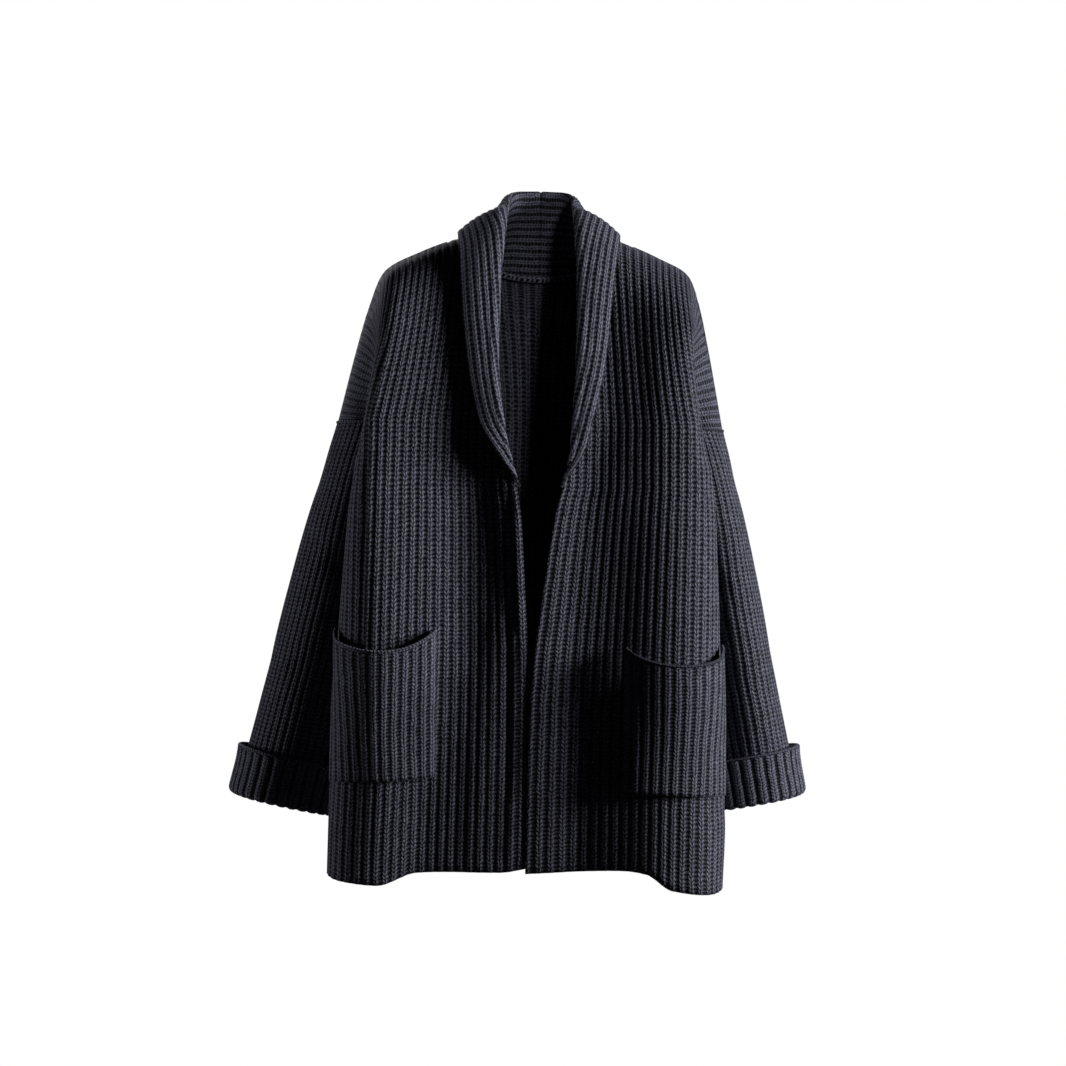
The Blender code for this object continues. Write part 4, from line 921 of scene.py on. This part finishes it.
def pocketShell(side):
    # The front's own points between the pocket's edges, moved out by lift + gape + the
    # front's folds + baggy: gape = mouth sin(pi a)^0.7 smoothStep(up), and baggy =
    # size x (1 - a) sin(pi min(4a, 1/2)), with a from the inner edge to the outer. The
    # mouth sags by sag sin(pi a)^0.8.
    got = pocket[side]
    count = pocket["columns"]
    a = np.linspace(0, 1, count + 1)
    sag = got["sag"] * np.sin(math.pi * a) ** 0.8
    top = got["topInner"] + (got["topOuter"] - got["topInner"]) * a - sag
    bottom = got["bottomInner"] + (got["bottomOuter"] - got["bottomInner"]) * a
    under = []
    crest = crestShare(frontLoop(side, cut["armholeLevel"]))
    for up in np.linspace(pocket["searchFrom"], pocket["searchTo"], pocket["searchRows"]):
        start = neckShare(side, up)
        share = start + (crest - start) * (pocket["inner"] + (1 - pocket["inner"]) * a)
        under.append(frontPoints(side, share, up))
    under = np.array(under)
    f = np.linspace(0, 1, pocket["rows"] + 1)[:, None]
    heights = bottom + (top - bottom) * f
    points = np.empty(heights.shape + (3,))
    for k in range(count + 1):
        line = under[:, k]
        points[:, k] = np.stack([np.interp(heights[:, k], line[:, 2], line[:, i])
                                 for i in range(3)], axis=-1)
    points = mirrored(points, side)
    first = np.zeros(len(f), int)
    last = first + count
    bend = foldHeight(points[..., 0] * sideSign[side], points[..., 2], frontFolds[side])
    n = gridNormals(points, first, last)
    n = n * -np.sign(n[..., 1].sum())
    gape = np.sin(math.pi * a)[None, :] ** 0.7 * smoothStep(pocket["mouthFrom"], 1.0, f) * pocket["mouth"]
    baggy = pocket["baggy"] * (1 - a) * np.sin(math.pi * np.minimum(a * 4, 0.5))
    points = points + n * (pocket["lift"] + gape + bend + baggy)[..., None]
    n = gridNormals(points, first, last)
    n = n * -np.sign(n[..., 1].sum())
    run = runOf(points[len(f) // 2])
    u = np.broadcast_to((run / pocket["pitch"])[None, :], heights.shape)
    v = np.broadcast_to(f * pocket["stitches"], heights.shape)
    relief = ribHeight(u)
    outer = cloth["halfWall"] + pocket["relief"] * cloth["ridge"] * relief
    inner = pocket["innerWall"] + pocket["innerRidge"] * relief
    item = shell("pocketCloth_" + side, points, n, outer, inner, u, v, first, last)
    mouth = points[-1] + n[-1] * pocket["trimOut"]
    return item, tube("pocketTrim_" + side, mouth, pocket["trim"])


# Linked seams, and the ridge along the neck's.
seams = {
    "radius": 0.0016, "stitch": 0.004, "sides": 8,
    "armholeOut": 1.045, "armholeRows": 121, "shoulderIn": 0.12, "shoulderLift": 0.0012,
    "shoulderRows": 90, "sideFrom": -0.995, "sideTo": -0.01, "sideRows": 60,
}
neckLine = {"radius": 0.0040, "stitch": 0.006, "reach": 0.96, "inward": 0.0036, "drop": 0.0035,
            "rows": 91}


def seamPieces(side):
    # Tubes over the armhole (its ring grown from its centre), shoulder and side seams.
    turns = np.linspace(0, 1, seams["armholeRows"])
    hole = sleeveSection(side, 0.0, turns)
    middle = hole[:-1].mean(axis=0)
    hole = middle + (hole - middle) * seams["armholeOut"]
    items = [tube("armholeSeam_" + side, mirrored(hole, side), seams["radius"])]
    neck = cut["highShoulder"][0] / shoulder[side][shoulderTip][0]
    shares = np.linspace(neck + seams["shoulderIn"], armRun[-1], seams["shoulderRows"])
    line = shoulderLine(side, shares) + np.array([0.0, 0.0, seams["shoulderLift"]])
    items.append(tube("shoulderSeam_" + side, mirrored(line, side), seams["radius"]))
    ups = np.linspace(seams["sideFrom"], seams["sideTo"], seams["sideRows"])
    line = np.array([frontPoints(side, np.array([1.0]), up)[0] for up in ups])
    items.append(tube("sideSeam_" + side, mirrored(line, side), seams["radius"]))
    return items


def neckRidge():
    # Tube inside the back neck's curve, from one high shoulder to the other.
    f = np.linspace(-1, 1, neckLine["rows"])
    neck = cut["highShoulder"][0] / shoulder["left"][shoulderTip][0]
    line = backTop("left", np.abs(f * neckLine["reach"]) * neck)
    line[:, 0] *= np.sign(f)
    inward = -line * np.array([1, 1, 0])
    inward /= np.maximum(np.linalg.norm(inward, axis=-1, keepdims=True), 1e-9)
    line = line + inward * neckLine["inward"] + np.array([0, 0, -neckLine["drop"]])
    return tube("neckSeam", line, neckLine["radius"], neckLine["stitch"])


def srgb(text):
    # sRGB hex to linear: c/12.92 below 0.04045, else ((c + 0.055)/1.055)^2.4.
    values = [int(text[k:k + 2], 16) / 255 for k in (1, 3, 5)]
    return tuple(v / 12.92 if v <= 0.04045 else ((v + 0.055) / 1.055) ** 2.4 for v in values) + (1.0,)


def addNode(tree, kind, settings=None, inputs=None):
    # One node with its settings, values and links; a link is a (node, output) pair.
    node = tree.nodes.new(kind)
    for key, value in (settings or {}).items():
        setattr(node, key, value)
    for key, value in (inputs or {}).items():
        if isinstance(value, tuple) and len(value) == 2 and hasattr(value[0], "outputs"):
            tree.links.new(value[0].outputs[value[1]], node.inputs[key])
        else:
            node.inputs[key].default_value = value
    return node


def knitMaterial(name, look):
    # Ribs u and rows v come from the UV map and wander a little by slow noise. Across a
    # rib c = |2 frac(u) - 1|, and along it wave(v) = 1 - |2 frac(v) - 1|. A leg of a
    # stitch is a band about c = strandAt times a ramp of wave(v - slant c), which makes a
    # V; a small ramp of wave(v) fills the V's foot, and wave(v - barArch c) draws the bar
    # in the furrow. Tone = the highest of the three x fibre speckle x slow patches.
    material = bpy.data.materials.new(name)
    material.use_nodes = True
    tree = material.node_tree
    tree.nodes.clear()

    def work(operation, a, b=None, clamp=False):
        inputs = {0: a} if b is None else {0: a, 1: b}
        return (addNode(tree, "ShaderNodeMath", {"operation": operation, "use_clamp": clamp}, inputs), 0)

    def ramp(value, low, high, toLow=0.0, toHigh=1.0):
        return (addNode(tree, "ShaderNodeMapRange", {"interpolation_type": "SMOOTHSTEP"}, {
            "Value": value, "From Min": low, "From Max": high, "To Min": toLow, "To Max": toHigh}), 0)

    def saw(value):
        # |2 frac(x) - 1|: 0 in the middle of every unit and 1 at its ends.
        return work("ABSOLUTE", work("SUBTRACT", work("MULTIPLY", work("FRACT", value), 2.0), 1.0))

    def wave(value):
        return work("SUBTRACT", 1.0, saw(value))

    def noise(size, detail, roughness):
        return addNode(tree, "ShaderNodeTexNoise", {"noise_dimensions": "3D"}, {
            "Vector": (spot, "Object"), "Scale": 1 / size, "Detail": detail, "Roughness": roughness})

    uv = addNode(tree, "ShaderNodeUVMap", {"uv_map": "knit"})
    spot = addNode(tree, "ShaderNodeTexCoord")
    slow = noise(look["wanderSize"], 2.0, 0.6)
    fine = noise(look["fibreSize"], 3.0, 0.7)
    split = addNode(tree, "ShaderNodeSeparateXYZ", {}, {0: (uv, 0)})
    shake = addNode(tree, "ShaderNodeSeparateXYZ", {}, {0: (slow, "Color")})
    u = work("ADD", (split, 0), work("MULTIPLY", work("SUBTRACT", (shake, 0), 0.5), look["wanderAcross"]))
    v = work("ADD", (split, 1), work("MULTIPLY", work("SUBTRACT", (shake, 1), 0.5), look["wanderAlong"]))
    aside = saw(u)

    off = work("ABSOLUTE", work("SUBTRACT", aside, look["strandAt"]))
    strand = ramp(off, look["strandFlat"], look["strandHalf"], 1.0, 0.0)
    leg = ramp(wave(work("SUBTRACT", v, work("MULTIPLY", aside, look["slant"]))),
               0.0, look["legEdge"], look["legFloor"], 1.0)
    centre = work("MULTIPLY", ramp(wave(v), *look["centreRow"], 0.0, look["centreTone"]),
                  ramp(aside, *look["centreWidth"], 1.0, 0.0))
    bar = work("MULTIPLY", ramp(wave(work("SUBTRACT", v, work("MULTIPLY", aside, look["barArch"]))),
                                *look["barRow"], 0.0, look["barTone"]),
               ramp(aside, look["strandAt"], look["strandAt"] + look["barWidth"]))
    knitted = work("MULTIPLY", strand, leg)
    stitch = work("MAXIMUM", work("MAXIMUM", knitted, centre), bar)
    raised = work("MAXIMUM", knitted, work("MULTIPLY", work("MAXIMUM", centre, bar), look["lowShare"]))
    height = work("ADD", raised, work("MULTIPLY", (fine, "Fac"), look["fibreHeight"]))
    bump = addNode(tree, "ShaderNodeBump", {},
                   {"Height": height, "Strength": 1.0, "Distance": look["bump"]})
    speckle = ramp((fine, "Fac"), *look["speckleNoise"], *look["speckle"])
    patch = ramp((slow, "Fac"), *look["patchNoise"], *look["patch"])
    tone = work("MULTIPLY", work("MULTIPLY", stitch, speckle), patch, clamp=True)
    # Tone 1 takes the yarn's colour and tone 0 the near-black colour between the stitches. The stitch's
    # lower tone between legs and rows, in the V's foot and on the bar in the furrow is painted shade for
    # those recesses; speckle and patches are the yarn's own random tone.
    colour = addNode(tree, "ShaderNodeMix", {"data_type": "RGBA"},
                     {0: tone, 6: srgb(look["gap"]), 7: srgb(look["yarn"])})
    shader = addNode(tree, "ShaderNodeBsdfPrincipled", {}, {
        "Base Color": (colour, 2), "Normal": (bump, 0), "Roughness": look["roughness"],
        "Specular IOR Level": look["specular"], "Sheen Weight": look["sheen"],
        "Sheen Roughness": look["sheenRoughness"], "Sheen Tint": srgb(look["sheenTint"])})
    addNode(tree, "ShaderNodeOutputMaterial", {}, {0: (shader, 0)})
    return material


def plainMaterial(name, colour, roughness):
    # One colour, matt.
    material = bpy.data.materials.new(name)
    material.use_nodes = True
    shader = material.node_tree.nodes["Principled BSDF"]
    shader.inputs["Base Color"].default_value = srgb(colour)
    shader.inputs["Roughness"].default_value = roughness
    return material


# Wool-blend yarn, spun thick and knitted in half-cardigan rib: matt, dark navy grey, with
# pale flecks of fibre on the legs. The near-black colour between the stitches is painted
# shade for the recesses there, and the lower tones of the bars and the V's foot are painted
# shade too. Widths across and along are shares of half a rib and of a row. The yarn wanders
# over 11.1 mm; single fibres are far too fine to show, so the fuzz is drawn as clumps of 1.56 mm.
yarnLook = {
    "yarn": "#808092", "gap": "#0a0a0f",
    "wanderSize": 1 / 90, "wanderAcross": 0.30, "wanderAlong": 1.1,
    "strandAt": 0.32, "strandFlat": 0.10, "strandHalf": 0.42,
    "slant": 0.95, "legFloor": 0.22, "legEdge": 0.75,
    "centreRow": (0.35, 0.95), "centreWidth": (0.05, 0.22), "centreTone": 0.60,
    "barArch": 0.50, "barRow": (0.20, 0.95), "barWidth": 0.20, "barTone": 0.44,
    "lowShare": 0.6, "fibreSize": 0.0015625, "fibreHeight": 0.50, "bump": 0.0010,
    "speckleNoise": (0.30, 0.72), "speckle": (0.30, 1.45),
    "patchNoise": (0.30, 0.70), "patch": (0.85, 1.15),
    "roughness": 0.9, "specular": 0.12, "sheen": 0.08, "sheenRoughness": 0.45, "sheenTint": "#a8a8d0",
}
knit = knitMaterial("rib_knit_stitched", yarnLook)
# The collar's rib is packed closer, so its legs run together; its bars in the furrows are painted dark,
# painted shade for their recess.
collarKnit = knitMaterial("collar_rib_knit", dict(
    yarnLook, slant=0.9, legFloor=0.45, centreTone=0.75, barTone=0.30))
# The rib's reverse turned out: broad soft ribs with narrow furrows, dark partly from their real relief and
# partly from painted shade, the low tone of their bars.
cuffKnit = knitMaterial("cuff_reverse_rib_knit", dict(
    yarnLook, strandAt=0.38, strandFlat=0.20, strandHalf=0.46, slant=0.8, legFloor=0.40,
    centreTone=0.80, barTone=0.20))
# A linked ridge, tight and raised; its yarn colour is painted paler than the cloth's, a painted highlight
# for the light the ridge catches.
neckPaintedHighlightKnit = knitMaterial("neck_linked_ridge_painted_highlight", dict(
    yarnLook, yarn="#b8b8cc", slant=0.5, centreTone=0.9, barTone=0.6))
# A rib with flatter furrows, which reads finer and more even.
pocketKnit = knitMaterial("pocket_fine_rib_knit", dict(
    yarnLook, slant=0.9, legFloor=0.35, centreTone=0.70, barTone=0.40))
print("materials ready")


def dress(item, nodes, material):
    # Material, body and slot of one piece, and the solid it stands for.
    item.data.materials.append(material)
    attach(item, "root")
    if nodes:
        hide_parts(*nodes)


innerLight = bpy.data.collections.new("inside")  # what the light named inside falls on
for side in sideSign:
    for item in seamPieces(side):
        dress(item, (), knit)
    item = panelShell("frontCloth_" + side, frontSheet(side), -1, frontFolds[side],
                      lambda x, s=sideSign[side]: x * s)
    dress(item, ("front_" + side,), knit)
    item = sleeveShell(side)
    dress(item, ("sleeve_" + side,), knit)
    item, lip = cuffShell(side)
    dress(item, ("cuff_" + side,), cuffKnit)
    dress(lip, (), cuffKnit)
    item = collarShell(side)
    innerLight.objects.link(item)
    dress(item, ("collar_" + side,), collarKnit)
    item, trim = pocketShell(side)
    dress(trim, (), pocketKnit)
    dress(item, ("pocket_" + side,), pocketKnit)
    print("pieces of the", side, "side ready")
item = panelShell("backCloth", backSheet(), 1, backFolds, lambda x: x)
dress(item, ("back",), knit)
innerLight.objects.link(item)
item = neckRidge()
innerLight.objects.link(item)
dress(item, (), neckPaintedHighlightKnit)
print("back ready")

view = {"distance": 3.2, "height": -0.338, "lens": 94.0, "sensor": 36.0, "roll": -1.3}  # degrees
floorLook = {"height": -1.42, "radius": 1.6, "thickness": 0.01, "colour": "#e9e9ea", "roughness": 0.8}
sky = {"seen": 1.0, "light": 0.006}
lightTarget = (0, 0, -0.30)
lights = {  # power in watts
    "key": {"at": (6.10, -1.18, 0.96), "size": 2.4, "power": 505.0},
    "side": {"at": (-3.0, 0.42, -0.45), "size": 1.0, "power": 27.0},
    "rear": {"at": (-0.8, 3.0, 1.2), "size": 1.6, "power": 60.0},
    "inside": {"at": (0.76, -3.0, 0.10), "size": 0.3, "power": 17.0, "only": "inside"},
}


def addLights():
    # Area lights aimed at the middle of the garment.
    for name, light in lights.items():
        data = bpy.data.lights.new(name, "AREA")
        data.shape = "DISK"
        data.size = light["size"]
        data.energy = light["power"]
        item = bpy.data.objects.new(name, data)
        item.location = light["at"]
        way = Vector(lightTarget) - Vector(light["at"])
        item.rotation_euler = way.to_track_quat("-Z", "Y").to_euler()
        if "only" in light:
            item.light_linking.receiver_collection = bpy.data.collections[light["only"]]
        bpy.context.scene.collection.objects.link(item)


def addWorld():
    # White where the camera sees it, dim where it lights the cloth.
    world = bpy.data.worlds.new("studio")
    bpy.context.scene.world = world
    world.use_nodes = True
    tree = world.node_tree
    tree.nodes.clear()
    path = addNode(tree, "ShaderNodeLightPath")
    shown = addNode(tree, "ShaderNodeBackground", {}, {"Color": (1, 1, 1, 1), "Strength": sky["seen"]})
    lit = addNode(tree, "ShaderNodeBackground", {}, {"Color": (1, 1, 1, 1), "Strength": sky["light"]})
    mix = addNode(tree, "ShaderNodeMixShader", {},
                  {0: (path, "Is Camera Ray"), 1: (lit, 0), 2: (shown, 0)})
    addNode(tree, "ShaderNodeOutputWorld", {}, {0: (mix, 0)})


def addFloor():
    # A plain disc, its top at the floor's height.
    depth = floorLook["thickness"]
    bpy.ops.mesh.primitive_cylinder_add(vertices=128, radius=floorLook["radius"], depth=depth,
                                        location=(0, 0, floorLook["height"] - depth / 2))
    floor = bpy.context.object
    floor.name = "floor"
    paint = plainMaterial("floor_matt_paint", floorLook["colour"], floorLook["roughness"])
    floor.data.materials.append(paint)
    floor.visible_diffuse = False


def addCamera():
    # Level with the middle of the garment, straight in front of it.
    data = bpy.data.cameras.new("camera")
    data.lens = view["lens"]
    data.sensor_width = view["sensor"]
    camera = bpy.data.objects.new("camera", data)
    camera.location = (0, -view["distance"], view["height"])
    camera.rotation_euler = (math.pi / 2, math.radians(view["roll"]), 0)
    bpy.context.scene.collection.objects.link(camera)
    bpy.context.scene.camera = camera


addLights()
addWorld()
addFloor()
addCamera()
bpy.context.scene.view_settings.view_transform = "Standard"
print("stage ready")
